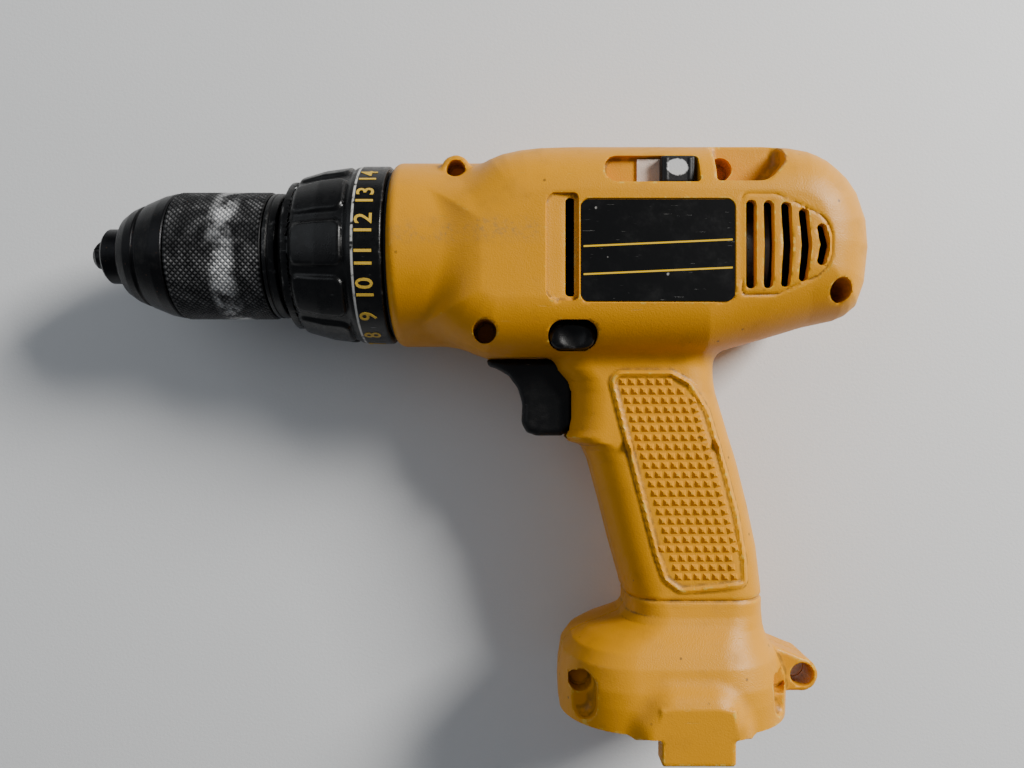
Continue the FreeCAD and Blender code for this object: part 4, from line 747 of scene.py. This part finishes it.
# ------------------------------------------------------------------ repeated shapes
class Scatter:
    """Geometry Nodes that set one small shape on many places and make them real."""

    INPUTS = (("Shape", "NodeSocketObject"), ("Size", "NodeSocketFloat"), ("Finish", "NodeSocketMaterial"))

    def __init__(self) -> None:
        group = bpy.data.node_groups.new("scatter", "GeometryNodeTree")
        group.interface.new_socket("Geometry", in_out="INPUT", socket_type="NodeSocketGeometry")
        self.keys = {name: group.interface.new_socket(name, in_out="INPUT", socket_type=kind).identifier
                     for name, kind in self.INPUTS}
        group.interface.new_socket("Geometry", in_out="OUTPUT", socket_type="NodeSocketGeometry")
        add, link = group.nodes.new, group.links.new
        source, result = add("NodeGroupInput"), add("NodeGroupOutput")
        shape, turn = add("GeometryNodeObjectInfo"), add("GeometryNodeInputNamedAttribute")
        turn.data_type = "FLOAT_VECTOR"
        turn.inputs["Name"].default_value = "turn"
        copies = add("GeometryNodeInstanceOnPoints")
        real, paint = add("GeometryNodeRealizeInstances"), add("GeometryNodeSetMaterial")
        link(source.outputs["Shape"], shape.inputs["Object"])
        link(source.outputs["Geometry"], copies.inputs["Points"])
        link(shape.outputs["Geometry"], copies.inputs["Instance"])
        link(turn.outputs["Attribute"], copies.inputs["Rotation"])
        link(source.outputs["Size"], copies.inputs["Scale"])
        link(copies.outputs["Instances"], real.inputs["Geometry"])
        link(real.outputs["Geometry"], paint.inputs["Geometry"])
        link(source.outputs["Finish"], paint.inputs["Material"])
        link(paint.outputs["Geometry"], result.inputs["Geometry"])
        self.group = group

    def spread(self, name: str, places: Array, facing: Array, shape: bpy.types.Object, finish: object,
               spin: Array | None = None) -> bpy.types.Object:
        """Copies of a shape at places in millimetres, its Z axis turned to face each direction."""
        mesh = bpy.data.meshes.new(name)
        mesh.from_pydata(to_row(places).tolist(), [], [])
        turns = []
        for k, way in enumerate(facing):
            angle = 0.0 if spin is None else float(spin[k])
            turned = Vector(way).to_track_quat("Z", "Y").to_matrix() @ Matrix.Rotation(angle, 3, "Z")
            turns += list(turned.to_euler())
        mesh.attributes.new("turn", "FLOAT_VECTOR", "POINT").data.foreach_set("vector", turns)
        piece = bpy.data.objects.new(name, mesh)
        bpy.context.scene.collection.objects.link(piece)
        modifier = piece.modifiers.new("scatter", "NODES")
        modifier.node_group = self.group
        modifier[self.keys["Shape"]] = shape
        modifier[self.keys["Size"]] = 1.0
        modifier[self.keys["Finish"]] = Paint.of(finish)
        applied(piece)
        bpy.data.objects.remove(shape)
        return piece


def stud(base: float, top: float, height: float, sunk: float, sides: int = 4) -> bpy.types.Object:
    """A small pointed stud, in metres, whose foot lies below its origin."""
    rings = ((base, -sunk, 0.0), (base, 0.0, 0.0), (top, height, 1.0))
    vertices, marks = [], []
    for radius, up, tip in rings:
        for k in range(sides):
            angle = 2 * math.pi * k / sides
            vertices.append((radius * math.cos(angle) * MM, radius * math.sin(angle) * MM, up * MM))
            marks.append(tip)
    faces = [list(range(sides))[::-1], [2 * sides + k for k in range(sides)]]
    for ring in range(2):
        for k in range(sides):
            a, b = ring * sides + k, ring * sides + (k + 1) % sides
            faces.append([a, b, b + sides, a + sides])
    mesh = bpy.data.meshes.new("stud")
    mesh.from_pydata(vertices, [], faces)
    for name, values in (("tip", marks), ("convex", [0.5 + 0.12 * m for m in marks])):
        mesh.attributes.new(name, "FLOAT", "POINT").data.foreach_set("value", values)
    mesh.update()
    piece = bpy.data.objects.new("stud", mesh)
    bpy.context.scene.collection.objects.link(piece)
    return piece


def lathe(name: str, profile: Sequence[Sequence[float]], steps: int = 160) -> bpy.types.Object:
    """A closed profile of (x, radius[, rounding]) turned about the spindle axis."""
    outline = rounded_outline(profile)
    count = len(outline)
    vertices, faces, marks = [], [], []
    before, after = np.roll(outline, 1, axis=0), np.roll(outline, -1, axis=0)
    area = sum(p[0] * q[1] - q[0] * p[1] for p, q in zip(outline, after))
    bend = [(h[0] - b[0]) * (a[1] - h[1]) - (h[1] - b[1]) * (a[0] - h[0])
            for b, h, a in zip(before, outline, after)]
    tilt = [0.5 + 0.2 * np.sign(v * area) * (abs(v) > 1e-4) for v in bend]
    for step in range(steps):
        angle = 2 * math.pi * step / steps
        for (along, radius), mark in zip(outline, tilt):
            vertices.append((along, radius * math.cos(angle), radius * math.sin(angle)))
            marks.append(mark)
    for step in range(steps):
        here, there = step * count, (step + 1) % steps * count
        for k in range(count):
            j = (k + 1) % count
            face = [here + k, here + j, there + j, there + k]
            faces.append(face if area < 0 else face[::-1])
    return mesh_object(name, np.array(vertices), faces, {"convex": marks}, sharp=35)


# ------------------------------------------------------------------ housing
@dataclass(frozen=True)
class Column:
    """A form whose rounded cross-section changes with height: the handle and the base."""

    stations: Sequence[tuple[float, float, float, float, float]]
    low: float = -150.0
    high: float = -24.0

    def form(self, open_end: bool = False) -> Form:
        """The column, without its lower end if it is to be hollowed through it."""
        table = np.array(sorted(self.stations))
        low = self.low - 20 if open_end else self.low
        slopes = np.gradient(table[:, 1:4], table[:, 0], axis=0)
        steep = np.sqrt(1 + np.max(slopes ** 2, axis=1))

        def reach(x: Array, y: Array, z: Array) -> Array:
            front, rear, half, corner = (np.interp(y, table[:, 0], table[:, k]) for k in range(1, 5))
            lean = np.interp(y, table[:, 0], steep)
            dx = np.abs(x - (front + rear) / 2) - (rear - front) / 2 + corner
            dz = np.abs(z) - half + corner
            outside = np.sqrt(np.maximum(dx, 0) ** 2 + np.maximum(dz, 0) ** 2)
            side = (outside + np.minimum(np.maximum(dx, dz), 0) - corner) / lean
            return np.maximum(side, np.maximum(low - y, y - self.high))

        return Form(reach)


@dataclass
class HousingSize:
    """Sizes of the clamshell in millimetres about the spindle."""

    half: float = 33.0
    wall: float = 2.8
    seam: float = 0.1
    grid: float = 0.75
    barrel: float = 30.6
    barrel_end: float = 60.0
    case_rounding: float = 20.0
    case_side: tuple = (
        (12, -24), (19, -29.5), (25, -32.6), (31, -34.7), (100, -34.2), (107.4, -32.2), (119.1, -29.0),
        (132, -25.1), (141.7, -23.0), (145, -21.6), (148.2, -18.9), (150.8, -11.5), (152, -0.2), (151.3, 8.6),
        (148.3, 17.4), (145, 22.3), (141.7, 25.5), (138.5, 28.1), (135.3, 29.8), (132, 31.1), (126, 32.2),
        (118, 32.6), (58, 32.6), (47.8, 32.3), (41.4, 31.6), (35.5, 30.3), (31.3, 28.6), (27.9, 26.2),
        (22, 22), (12, 18))
    column: tuple = (
        (-24, 50, 106, 17.7, 12), (-38.5, 53, 105.1, 17.7, 12), (-42.3, 56.3, 105.3, 17.7, 12),
        (-46, 57.5, 105.9, 17.7, 12), (-53.6, 57.5, 108.2, 17.7, 12), (-58, 56.9, 109.5, 17.7, 12),
        (-60.4, 55.6, 110.2, 17.7, 12), (-62.2, 57.5, 110.8, 17.7, 12), (-63, 60.5, 111, 17.7, 12),
        (-64.7, 62.6, 111.6, 17.7, 12), (-69.1, 64.6, 112.9, 17.7, 12), (-82.7, 68.3, 116.3, 17.7, 12),
        (-96.3, 71.7, 119.2, 17.7, 12), (-109.9, 75.5, 120.8, 17.7, 12), (-114, 76.6, 121.0, 17.8, 12),
        (-117.4, 76.4, 121.1, 18.4, 13), (-119.8, 74.6, 121.3, 19.4, 14), (-121.6, 70.6, 121.6, 20.6, 16),
        (-124.2, 63.6, 122.2, 22.6, 18), (-127, 58.4, 123.4, 24.6, 20), (-131, 55.6, 125.8, 26.8, 22),
        (-137.8, 54.5, 128.4, 28.6, 24), (-143, 54.3, 129, 29.2, 25), (-150, 54.6, 128.8, 29.2, 25))
    grip_panel: tuple = (
        (69.9, -39.9, 3), (89.2, -39.9, 2), (95.1, -43.1, 4), (101, -51.8), (103.8, -61.3), (106.9, -71.8),
        (110.3, -84.8), (112.7, -99.4), (113.1, -107.0, 2), (92.5, -109.0, 4), (87.5, -105.5, 4),
        (84.5, -96.6, 3))
    screws: tuple = (
        (20.9, 24.9), (30.4, -27.1), (104.6, 24.6), (138.8, -14.6), (60.5, -137.6), (124.0, -138.4))
    seat: float = 10.8
    channel: float = 25.0
    compartment: float = 18.5
    scoop: float = 17.0
    tube: float = 5.2
    coarse: float = 1.7
    triangles: int = 190000
    lug: Point2 = (133.9, -138.7)
    lug_rim: float = 5.3
    lug_bore: float = 3.8
    lug_half: float = 9.5
    vent_first: float = 110.3
    vent_pitch: float = 5.2
    vents: tuple = ((-14.6, 11.7), (-14.6, 11.7), (-14.4, 11.5), (-12.9, 9.8), (-8.6, 5.6))
    stud_pitch: float = 2.95
    stud_lean: float = 0.85


class Housing:
    """Both halves of the clamshell, with their grips."""

    def __init__(self, size: HousingSize, scatter: Scatter):
        self.size = size
        self.scatter = scatter

    def body(self, grown: float, hollow: bool) -> Form:
        """Barrel, motor case, handle and base as one blended form."""
        s = self.size
        front = -8.0 if hollow else 0.0
        case = plate_form(s.case_side, -s.half, s.half, s.case_rounding)
        barrel = rod_form(front, s.barrel_end, s.barrel, 3.2)
        column = Column(s.column).form(open_end=hollow)
        whole = case.join(barrel, 3.0).join(column, 4.0)
        return whole.grow(grown) if grown else whole

    def outside(self) -> Form:
        """The outer form with its bosses, border, groove and lug."""
        s = self.size
        whole = self.body(0.0, False)
        raised = [post_form(20.9, 24.9, 4.7, -18.0, 18.0, 1.2), post_form(30.4, -27.1, 5.6, -21.4, 21.4, 1.5)]
        whole = whole.join(union(raised), 1.6)
        arch = rounded_outline(((76.5, -158), (76.5, -146, 8), (83.5, -136.8, 9), (104.5, -136.8, 9),
                                (111, -146, 8), (111, -158)))
        tabs = rounded_outline(((83.6, -157.9, 1), (105.9, -157.9, 1), (105.9, -141), (83.6, -141)))
        bulge = Form(lambda x, y, z: slab(outline_distance(x, y, arch), np.abs(z) - 32.9, 5.5))
        bulge = bulge.cut(box_form((70, 115), (-170, -150), (-40, 40)))
        whole = whole.join(bulge, 4.0)
        extra = [
            Form(lambda x, y, z: slab(outline_distance(x, y, tabs), np.abs(np.abs(z) - 29.2) - 3.7, 0.9)),
            post_form(*s.lug, s.lug_rim, -s.lug_half, s.lug_half, 1.0),
            plate_form(((118, -127), (126.4, -130), (135.9, -133.9), (134.6, -143.9), (118, -144)),
                       -s.lug_half, s.lug_half, 1.0),
        ]
        whole = whole.join(union(extra), 1.2)
        panel = rounded_outline(s.grip_panel)
        dee = rounded_outline(((107.6, -16.4, 1.5), (118, -16.4, 8), (134.6, -9, 9), (134.6, 6, 9),
                               (118, 13.7, 8), (107.6, 13.7, 1.5)))

        def relief(x: Array, y: Array, z: Array) -> Array:
            rim = np.clip(1.3 - np.abs(outline_distance(x, y, panel)) / 0.9, 0, 1) * 0.7 * (np.abs(z) > 5)
            line = np.clip(1 - np.abs(outline_distance(x, y, dee)) / 0.7, 0, 1) * 0.5 * (np.abs(z) > 20)
            groove = np.clip(1 - np.abs(y + 112.4) / 0.9, 0, 1) * 0.6
            return line + groove - rim

        flat = s.half - 0.15
        return Form(lambda x, y, z: np.maximum(whole.reach(x, y, z) + relief(x, y, z), np.abs(z) - flat))

    def openings(self, left: bool) -> Form:
        """Everything cut through or into the shell."""
        s = self.size
        cuts = [post_form(*s.lug, s.lug_bore, -12, 12)]
        slots = []
        for k, (low, high) in enumerate(s.vents):
            at = s.vent_first + s.vent_pitch * k
            bow = 0.35 * k
            corners = ((at - 1.4, low, 1.2), (at + 1.4, low + bow, 1.2), (at + 1.4 + bow, -1.5),
                       (at + 1.4, high - bow, 1.2), (at - 1.4, high, 1.2), (at - 1.4 + bow, -1.5))
            slots.append(plate_form(corners, 18, 40))
        slit = ((54.8, -16.9, 1.2), (57.7, -16.9, 1.2), (57.7, 12.7, 1.2), (54.8, 12.7, 1.2))
        slots.append(plate_form(slit, 18, 40))
        ramp = rounded_outline(((49.0, -18.2, 3), (58.6, -18.2, 1.5), (58.6, 14, 1.5), (49.0, 14, 3)))
        label = ((59.3, -18.6, 2.4), (105.6, -18.6, 2.4), (105.6, 12.2, 2.4), (59.3, 12.2, 2.4))
        button = ((49.8, -32.7, 4.5), (65.2, -32.7, 4.5), (65.2, -23.7, 4.5), (49.8, -23.7, 4.5))
        sloped = Form(lambda x, y, z: np.maximum(outline_distance(x, y, ramp),
                                                 32.35 - (x - 48.0) * 0.11 - z))
        both = [union(slots), sloped, plate_form(label, 32.05, 40), plate_form(button, 15, 40)]
        paired = union(both)
        cuts.append(Form(lambda x, y, z: paired.reach(x, y, np.abs(z))))
        cuts.append(box_form((26, 69.5), (-61.0, -34.2), (-9.4, 9.4), 0.3))
        if left:
            cuts += [post_form(x, y, 3.6 if k else 3.0, s.seat, 40) for k, (x, y) in enumerate(s.screws)]
            run = ((66.9, 17.5, 3.6), (95.4, 17.5, 1), (95.4, 26.4, 1), (66.9, 26.4, 3.6))
            cuts.append(plate_form(run, s.channel, 40, 0.4))
            pocket = ((100.4, 17.8, 1), (116, 17.8, 7), (122.6, 25, 6), (123.4, 44), (100.4, 44))
            cuts.append(plate_form(pocket, s.compartment, 44, 3.0))
            for low, high in ((55.2, 65.2), (120.6, 130.4)):
                scoop = ((low, -148.4, 4.8), (high, -148.4, 4.8), (high, -133.0, 4.8), (low, -133.0, 4.8))
                cuts.append(plate_form(scoop, s.scoop, 44, 3.0))
        return union(cuts)

    def inside(self) -> Form:
        """The hollow of the shell, less the screw tubes and the walls behind the pocket and the scoops."""
        s = self.size
        solid = union([
            box_form((63.5, 126), (14.5, 40), (15.3, 40)),
            box_form((50, 68), (-149.9, -130), (13, 40)),
            box_form((118, 131), (-149.9, -130), (13, 40)),
        ])
        hollow = self.body(-s.wall, True).cut(solid)
        tubes = union([post_form(x, y, s.tube, -40, 40) for x, y in s.screws])
        return hollow.cut(tubes)

    def drive(self) -> Form:
        """Room for the gear case, the fan and the motor."""
        spans = ((-9, 6, 27.6), (-1, 44, 23.0), (42, 61, 25.0), (60, 137, 23.4))
        return union(rod_form(*span) for span in spans)

    def half(self, left: bool) -> bpy.types.Object:
        """One half of the clamshell."""
        s = self.size
        shell = self.outside().cut(self.inside()).cut(self.drive()).cut(self.openings(left), 0.35)
        side = 1 if left else -1
        flat = Form(lambda x, y, z: s.seam - side * z + 0 * x + 0 * y)
        shell = shell.keep(flat)
        step = s.grid * 1.0
        low, high = (-0.4, s.half + 0.5) if left else (-s.half - 0.5, 0.4)
        skin = Skin((-1, -159, low), (159, 37.4, high), step)
        vertices, faces, convex = skin.mesh(shell)
        name = "left_shell" if left else "right_shell"
        piece = mesh_object(name, vertices, faces, {"convex": convex}, sharp=None)
        piece = thinned(piece, s.triangles)
        piece.data.shade_smooth()
        piece.data.set_sharp_from_angle(angle=math.radians(42))
        log.info("%s: %d faces", name, len(piece.data.polygons))
        return dress(piece, FINISHES[Tone.YELLOW], Tone.YELLOW, "housing",
                     "left_housing" if left else "right_housing")

    def surface_height(self, form: Form, x: Array, y: Array) -> Array:
        """Height of the outer surface over places in the side view."""
        low, high = np.zeros_like(x), np.full_like(x, 40.0)
        for _ in range(30):
            middle = (low + high) / 2
            inside = form.reach(x, y, middle) < 0
            low, high = np.where(inside, middle, low), np.where(inside, high, middle)
        return low

    def studs(self, left: bool) -> bpy.types.Object:
        """Rows of small pyramids inside the grip panel."""
        s = self.size
        panel = rounded_outline(s.grip_panel)
        spots = []
        for row in range(24):
            for column in range(-4, 16):
                spots.append((68.0 + column * s.stud_pitch + row * s.stud_lean, -42.6 - row * s.stud_pitch))
        spots = np.array(spots)
        spots = spots[outline_distance(spots[:, 0], spots[:, 1], panel) < -1.9]
        form = Column(s.column).form()
        x, y = spots.T
        z = self.surface_height(form, x, y)
        places = np.stack([x, y, z], axis=1)
        facing = Skin((0, 0, 0), (1, 1, 1), 1).normals(form, places)
        if not left:
            places, facing = places * [1, 1, -1], facing * [1, 1, -1]
        name = "grip_studs_left" if left else "grip_studs_right"
        piece = self.scatter.spread(name, places, facing, stud(1.55, 0.45, 0.75, 0.4), FINISHES[Tone.YELLOW],
                                    spin=np.full(len(places), math.pi / 4))
        return dress(piece, FINISHES[Tone.YELLOW], Tone.YELLOW, "housing")

    def build(self) -> None:
        """Both halves with their studs."""
        for left in (True, False):
            self.half(left)
            self.studs(left)


# ------------------------------------------------------------------ clutch ring
@dataclass
class ClutchSize:
    """Sizes of the clutch ring in millimetres about the spindle."""

    radius: float = 29.6
    bore: float = 24.5
    front: float = -35.3
    rear: float = -1.1
    pads: int = 10
    digit_pitch: float = 19.4
    digit_turn: float = -9.0
    digit_height: float = 7.6
    digit_x: float = -6.3


class ClutchRing:
    """The numbered ring: a lathed body, raised finger pads and moulded digits."""

    def __init__(self, size: ClutchSize):
        self.size = size

    def shape(self) -> Form:
        """Body and pads as a form."""
        s = self.size
        outline = rounded_outline((
            (s.front, 15.2), (s.front, 20.4, 1.2), (-32.4, 23.6, 3), (-29.2, 25.4, 3), (-22, 27.0, 6),
            (-13.2, 28.2, 1), (-11.6, 29.2, 1.2), (-9.8, s.radius, 0.6), (s.rear, s.radius, 0.7),
            (s.rear, s.bore), (-33.2, s.bore), (-33.2, 15.2)))
        body = Form(lambda x, y, z: outline_distance(x, np.hypot(y, z), outline))
        crest = rounded_outline((
            (-33, 23), (-29.6, 26.1, 3), (-22, 28.2, 6), (-12.9, 29.4), (-12.9, 20), (-33, 20)))
        sector = 2 * math.pi / s.pads

        def pads(x: Array, y: Array, z: Array) -> Array:
            angle = np.arctan2(y, z) + sector / 2
            around = (np.mod(angle, sector) - sector / 2) * 27.5
            flat = slab(np.abs(x + 22.0) - 8.6, np.abs(around) - 7.0, 3.0)
            return slab(outline_distance(x, np.hypot(y, z), crest), flat + 0 * z, 1.2)

        return body.join(Form(pads), 0.9)

    def digits(self) -> bpy.types.Object:
        """Raised figures wrapped round the band."""
        s = self.size
        vertices, faces = [], []
        for figure in range(1, 15):
            curve = bpy.data.curves.new("figure", "FONT")
            curve.body = str(figure)
            curve.size = s.digit_height
            curve.align_x, curve.align_y = "CENTER", "CENTER"
            curve.extrude = 0.5
            curve.offset = 0.07
            curve.resolution_u = 3
            holder = bpy.data.objects.new("figure", curve)
            bpy.context.scene.collection.objects.link(holder)
            mesh = holder.to_mesh()
            work = bmesh.new()
            work.from_mesh(mesh)
            bmesh.ops.remove_doubles(work, verts=work.verts, dist=1e-4)
            bmesh.ops.recalc_face_normals(work, faces=work.faces)
            start = len(vertices)
            middle = math.radians((figure - 11) * s.digit_pitch + s.digit_turn)
            work.verts.index_update()
            for vertex in work.verts:
                across, up, out = vertex.co
                angle = middle + across / s.radius
                radius = s.radius - 0.35 + out
                vertices.append((s.digit_x - up, radius * math.sin(angle), radius * math.cos(angle)))
            faces += [[start + v.index for v in face.verts] for face in work.faces]
            work.free()
            holder.to_mesh_clear()
            bpy.data.objects.remove(holder)
            bpy.data.curves.remove(curve)
        return mesh_object("clutch_figures", np.array(vertices), faces,
                           {"convex": np.full(len(vertices), 0.5)}, sharp=30)

    def build(self) -> None:
        """The ring and its figures."""
        skin = Skin((-36.5, -31, -31), (0, 31, 31), 0.45)
        vertices, faces, convex = skin.mesh(self.shape())
        ring = thinned(mesh_object("clutch_grip_ring", vertices, faces, {"convex": convex}), 150000)
        ring.data.shade_smooth()
        ring.data.set_sharp_from_angle(angle=math.radians(48))
        black = BlackPlastic("ring_plastic", 0.3, (-10.4, -9.7))
        dress(ring, black, Tone.BLACK, "clutch_ring", "clutch_ring")
        figures = self.digits()
        finish = Plastic("figure_paint", (0.62, 0.40, 0.05), (0.5, 0.42, 0.25), rough=0.5, marked=False)
        dress(figures, finish, Tone.YELLOW, "clutch_ring")


# ------------------------------------------------------------------ chuck
@dataclass
class ChuckSize:
    """Sizes of the keyless chuck in millimetres about the spindle."""

    knurl_radius: float = 20.9
    knurl_front: float = -70.9
    knurl_rear: float = -41.2
    around: int = 140
    rows: int = 33


class Chuck:
    """The sleeve with its knurl, the hood and the rear collar."""

    def __init__(self, size: ChuckSize, scatter: Scatter):
        self.size = size
        self.scatter = scatter

    def build(self) -> None:
        """All of the chuck that is seen."""
        s = self.size
        sleeve = lathe("chuck_grip_sleeve", (
            (-71.4, 19.5), (-71.4, s.knurl_radius, 0.5), (-40.6, s.knurl_radius, 0.4), (-40.6, 19.5)), 200)
        dress(sleeve, KnurledSteel("sleeve_steel"), Tone.CHUCK, "chuck_sleeve", "chuck_sleeve")
        places, facing = [], []
        for row in range(s.rows):
            for k in range(s.around):
                if (row + k) % 2:
                    continue
                angle = 2 * math.pi * k / s.around
                along = s.knurl_front + (s.knurl_rear - s.knurl_front) * (row + 0.5) / s.rows
                way = (0.0, math.cos(angle), math.sin(angle))
                places.append((along, way[1] * s.knurl_radius, way[2] * s.knurl_radius))
                facing.append(way)
        knurl = self.scatter.spread("chuck_knurl", np.array(places), np.array(facing),
                                    stud(0.88, 0.12, 0.36, 0.3), KnurledSteel("sleeve_steel"))
        dress(knurl, KnurledSteel("sleeve_steel"), Tone.CHUCK, "chuck_sleeve")
        hood = lathe("chuck_hood_dome", (
            (-91.5, 9.6), (-91.5, 10.2, 0.4), (-89.4, 13.6, 1.5), (-86.4, 15.7, 3), (-83.4, 17.0, 0.6),
            (-82.9, 16.6, 0.3), (-82.0, 16.8, 0.3), (-81.7, 17.7, 0.3), (-79.3, 18.7, 3), (-75.8, 20.1, 4),
            (-72.2, 20.9, 0.6), (-71.7, 20.4, 0.3), (-71.7, 19.8), (-76.4, 18.9), (-80.5, 17.2), (-84, 15.9),
            (-87, 14.2), (-89.5, 11.4)), 200)
        dress(hood, FINISHES[Tone.CHUCK], Tone.CHUCK, "chuck_sleeve", "chuck_hood")
        collar = lathe("chuck_rear_collar", (
            (-40.3, 19.6), (-40.3, 20.7, 0.5), (-38.9, 20.9, 0.3), (-38.7, 20.5, 0.2), (-38.3, 20.5, 0.2),
            (-38.1, 20.9, 0.3), (-36.0, 20.7, 0.8), (-35.8, 19.6)), 200)
        dress(collar, BlackPlastic("collar_black"), Tone.CHUCK, "spindle", "chuck_collar")


# ------------------------------------------------------------------ controls
@dataclass
class TriggerSize:
    """Sizes of the trigger in millimetres about the spindle."""

    half: float = 8.7
    side: tuple = (
        (30.2, -35.0, 0.8), (30.9, -37.2, 0.6), (33.4, -38.0, 2), (37.6, -40.4, 4), (40.8, -44.9, 5),
        (42.3, -50.0, 8), (42.0, -56.5, 3), (43.6, -59.3, 2), (46.8, -60.4, 2), (55.0, -60.4, 1),
        (59.5, -57.5, 1), (59.5, -34.9, 1))


class Controls:
    """Trigger and direction button."""

    def __init__(self, size: TriggerSize):
        self.size = size

    def trigger(self) -> None:
        """The trigger, its front hollowed for a finger."""
        s = self.size
        form = plate_form(s.side, -s.half, s.half, 2.4)
        form = form.cut(plate_form(((49, -57), (61, -57), (61, -40), (49, -40)), -6.5, 6.5))
        skin = Skin((29, -61.5, -9.5), (61, -34, 9.5), 0.5)
        vertices, faces, convex = skin.mesh(form)
        piece = thinned(mesh_object("trigger_lever", vertices, faces, {"convex": convex}, sharp=50), 60000)
        dress(piece, BlackPlastic("trigger_plastic", 0.42), Tone.BLACK, "trigger", "trigger")

    def button(self) -> None:
        """The button across the handle's root, its ends slightly domed."""
        low, high = node_box("direction_button")
        middle_x, middle_y = (low.x + high.x) / 2, (low.y + high.y) / 2
        long, tall = (high.x - low.x) / 2 - 0.1, (high.y - low.y) / 2 - 0.1
        corners = [(middle_x + sx * long, middle_y + sy * tall, tall - 0.02)
                   for sx, sy in ((-1, -1), (1, -1), (1, 1), (-1, 1))]
        form = plate_form(corners, low.z + 0.05, high.z - 0.05, 1.6)
        dimple = Form(lambda x, y, z: np.sqrt((x - middle_x) ** 2 + (y - middle_y) ** 2
                                              + (np.abs(z) - high.z - 8.6) ** 2) - 9.6)
        skin = Skin(tuple(low - Vector((1, 1, 1))), tuple(high + Vector((1, 1, 1))), 0.5)
        vertices, faces, convex = skin.mesh(form.cut(dimple, 0.3))
        piece = thinned(mesh_object("direction_rocker", vertices, faces, {"convex": convex}, sharp=50), 40000)
        dress(piece, BlackPlastic("button_plastic", 0.34), Tone.BLACK, "direction_button", "direction_button")


class Selector:
    """The speed knob on its pale sliding plate, worn through to white on top."""

    def build(self) -> None:
        """The plate and the knob."""
        knob = box_form((84.1, 94.3), (17.9, 26.1), (25.2, 29.3), 0.7)
        ribs = union([box_form((at, at + 0.9), (18.6, 25.4), (28.8, 29.5), 0.2) for at in (85.2, 92.3)])
        skin = Skin((76, 17, 24), (101, 27, 30), 0.3)
        vertices, faces, convex = skin.mesh(knob.join(ribs, 0.2))
        piece = mesh_object("speed_knob", vertices, faces, {"convex": convex}, sharp=50)
        dress(piece, WornKnob("knob_plastic"), Tone.BLACK, "speed_selector", "speed_selector")
        plate = box_form((77.2, 94.9), (18.0, 26.0), (25.05, 25.7), 0.15)
        vertices, faces, convex = skin.mesh(plate)
        piece = mesh_object("speed_plate", vertices, faces, {"convex": convex}, sharp=50)
        pale = Plastic("plate_plastic", (0.62, 0.5, 0.42), (0.75, 0.7, 0.62))
        dress(piece, pale, Tone.BLACK, "speed_selector")


# ------------------------------------------------------------------ what stays as it was designed
def dress_nodes() -> None:
    """Gives every CAD node that is still shown the finish of its material slot."""
    named = {tone.value: tone for tone in Tone}
    for name, node in frame["nodes"].items():
        if node.hide_render:
            continue
        for material_slot in node.material_slots:
            kind = (material_slot.material.name if material_slot.material else "").split(".")[0]
            tone = named.get(kind)
            if tone is None:
                log.warning("%s: no finish for %s", name, kind)
                continue
            finish = FINISHES[tone]
            if isinstance(finish, Plastic) and finish.marked:
                finish = Plastic(finish.name + "_plain", finish.colour, finish.worn, marked=False)
            material_slot.link = "OBJECT"
            material_slot.material = Paint.of(finish)


# ------------------------------------------------------------------ studio
@dataclass
class Studio:
    """Table top, soft light and the camera above it."""

    above: tuple = (38.76, -43.25, 272.0)
    lens: float = 28.125
    table: float = 3.0

    def area(self, name: str, place: Sequence[float], size: float, watts: float,
             colour: Colour = (1, 1, 1)) -> None:
        """A soft light that faces the drill."""
        light = bpy.data.lights.new(name, "AREA")
        light.energy, light.size, light.color = watts, size, colour
        holder = bpy.data.objects.new(name, light)
        holder.location = place
        aim = Vector((0.02, 0.0, 0.03)) - Vector(place)
        holder.rotation_euler = aim.to_track_quat("-Z", "Y").to_euler()
        bpy.context.scene.collection.objects.link(holder)

    def build(self) -> None:
        """Everything round the drill."""
        half = self.table / 2
        mesh = bpy.data.meshes.new("table_top")
        mesh.from_pydata([(-half, -half, 0), (half, -half, 0), (half, half, 0), (-half, half, 0)], [],
                         [(0, 1, 2, 3)])
        floor = bpy.data.objects.new("table_top", mesh)
        bpy.context.scene.collection.objects.link(floor)
        mesh.materials.append(Paint.of(Floor("table_paint")))
        self.area("window", (1.0, 0.62, 0.72), 0.42, 31.0, (1.0, 0.985, 0.95))
        self.area("room_side", (-0.9, 0.5, 0.9), 1.0, 3.0, (0.9, 0.95, 1.0))
        world = bpy.data.worlds.new("room")
        world.use_nodes = True
        world.node_tree.nodes["Background"].inputs["Color"].default_value = (0.75, 0.8, 0.88, 1)
        world.node_tree.nodes["Background"].inputs["Strength"].default_value = 0.2
        bpy.context.scene.world = world
        view = bpy.data.cameras.new("camera")
        view.lens = self.lens
        view.sensor_width = 36.0
        view.clip_start = 0.01
        camera = bpy.data.objects.new("camera", view)
        camera.location = ORIGIN + Vector(self.above) * MM
        bpy.context.scene.collection.objects.link(camera)
        bpy.context.scene.camera = camera


def main() -> None:
    """Builds the drill's looks and the studio."""
    scatter = Scatter()
    Housing(HousingSize(), scatter).build()
    ClutchRing(ClutchSize()).build()
    Chuck(ChuckSize(), scatter).build()
    controls = Controls(TriggerSize())
    controls.trigger()
    controls.button()
    Selector().build()
    dress_nodes()
    Studio().build()


if __name__ == "__main__":
    main()
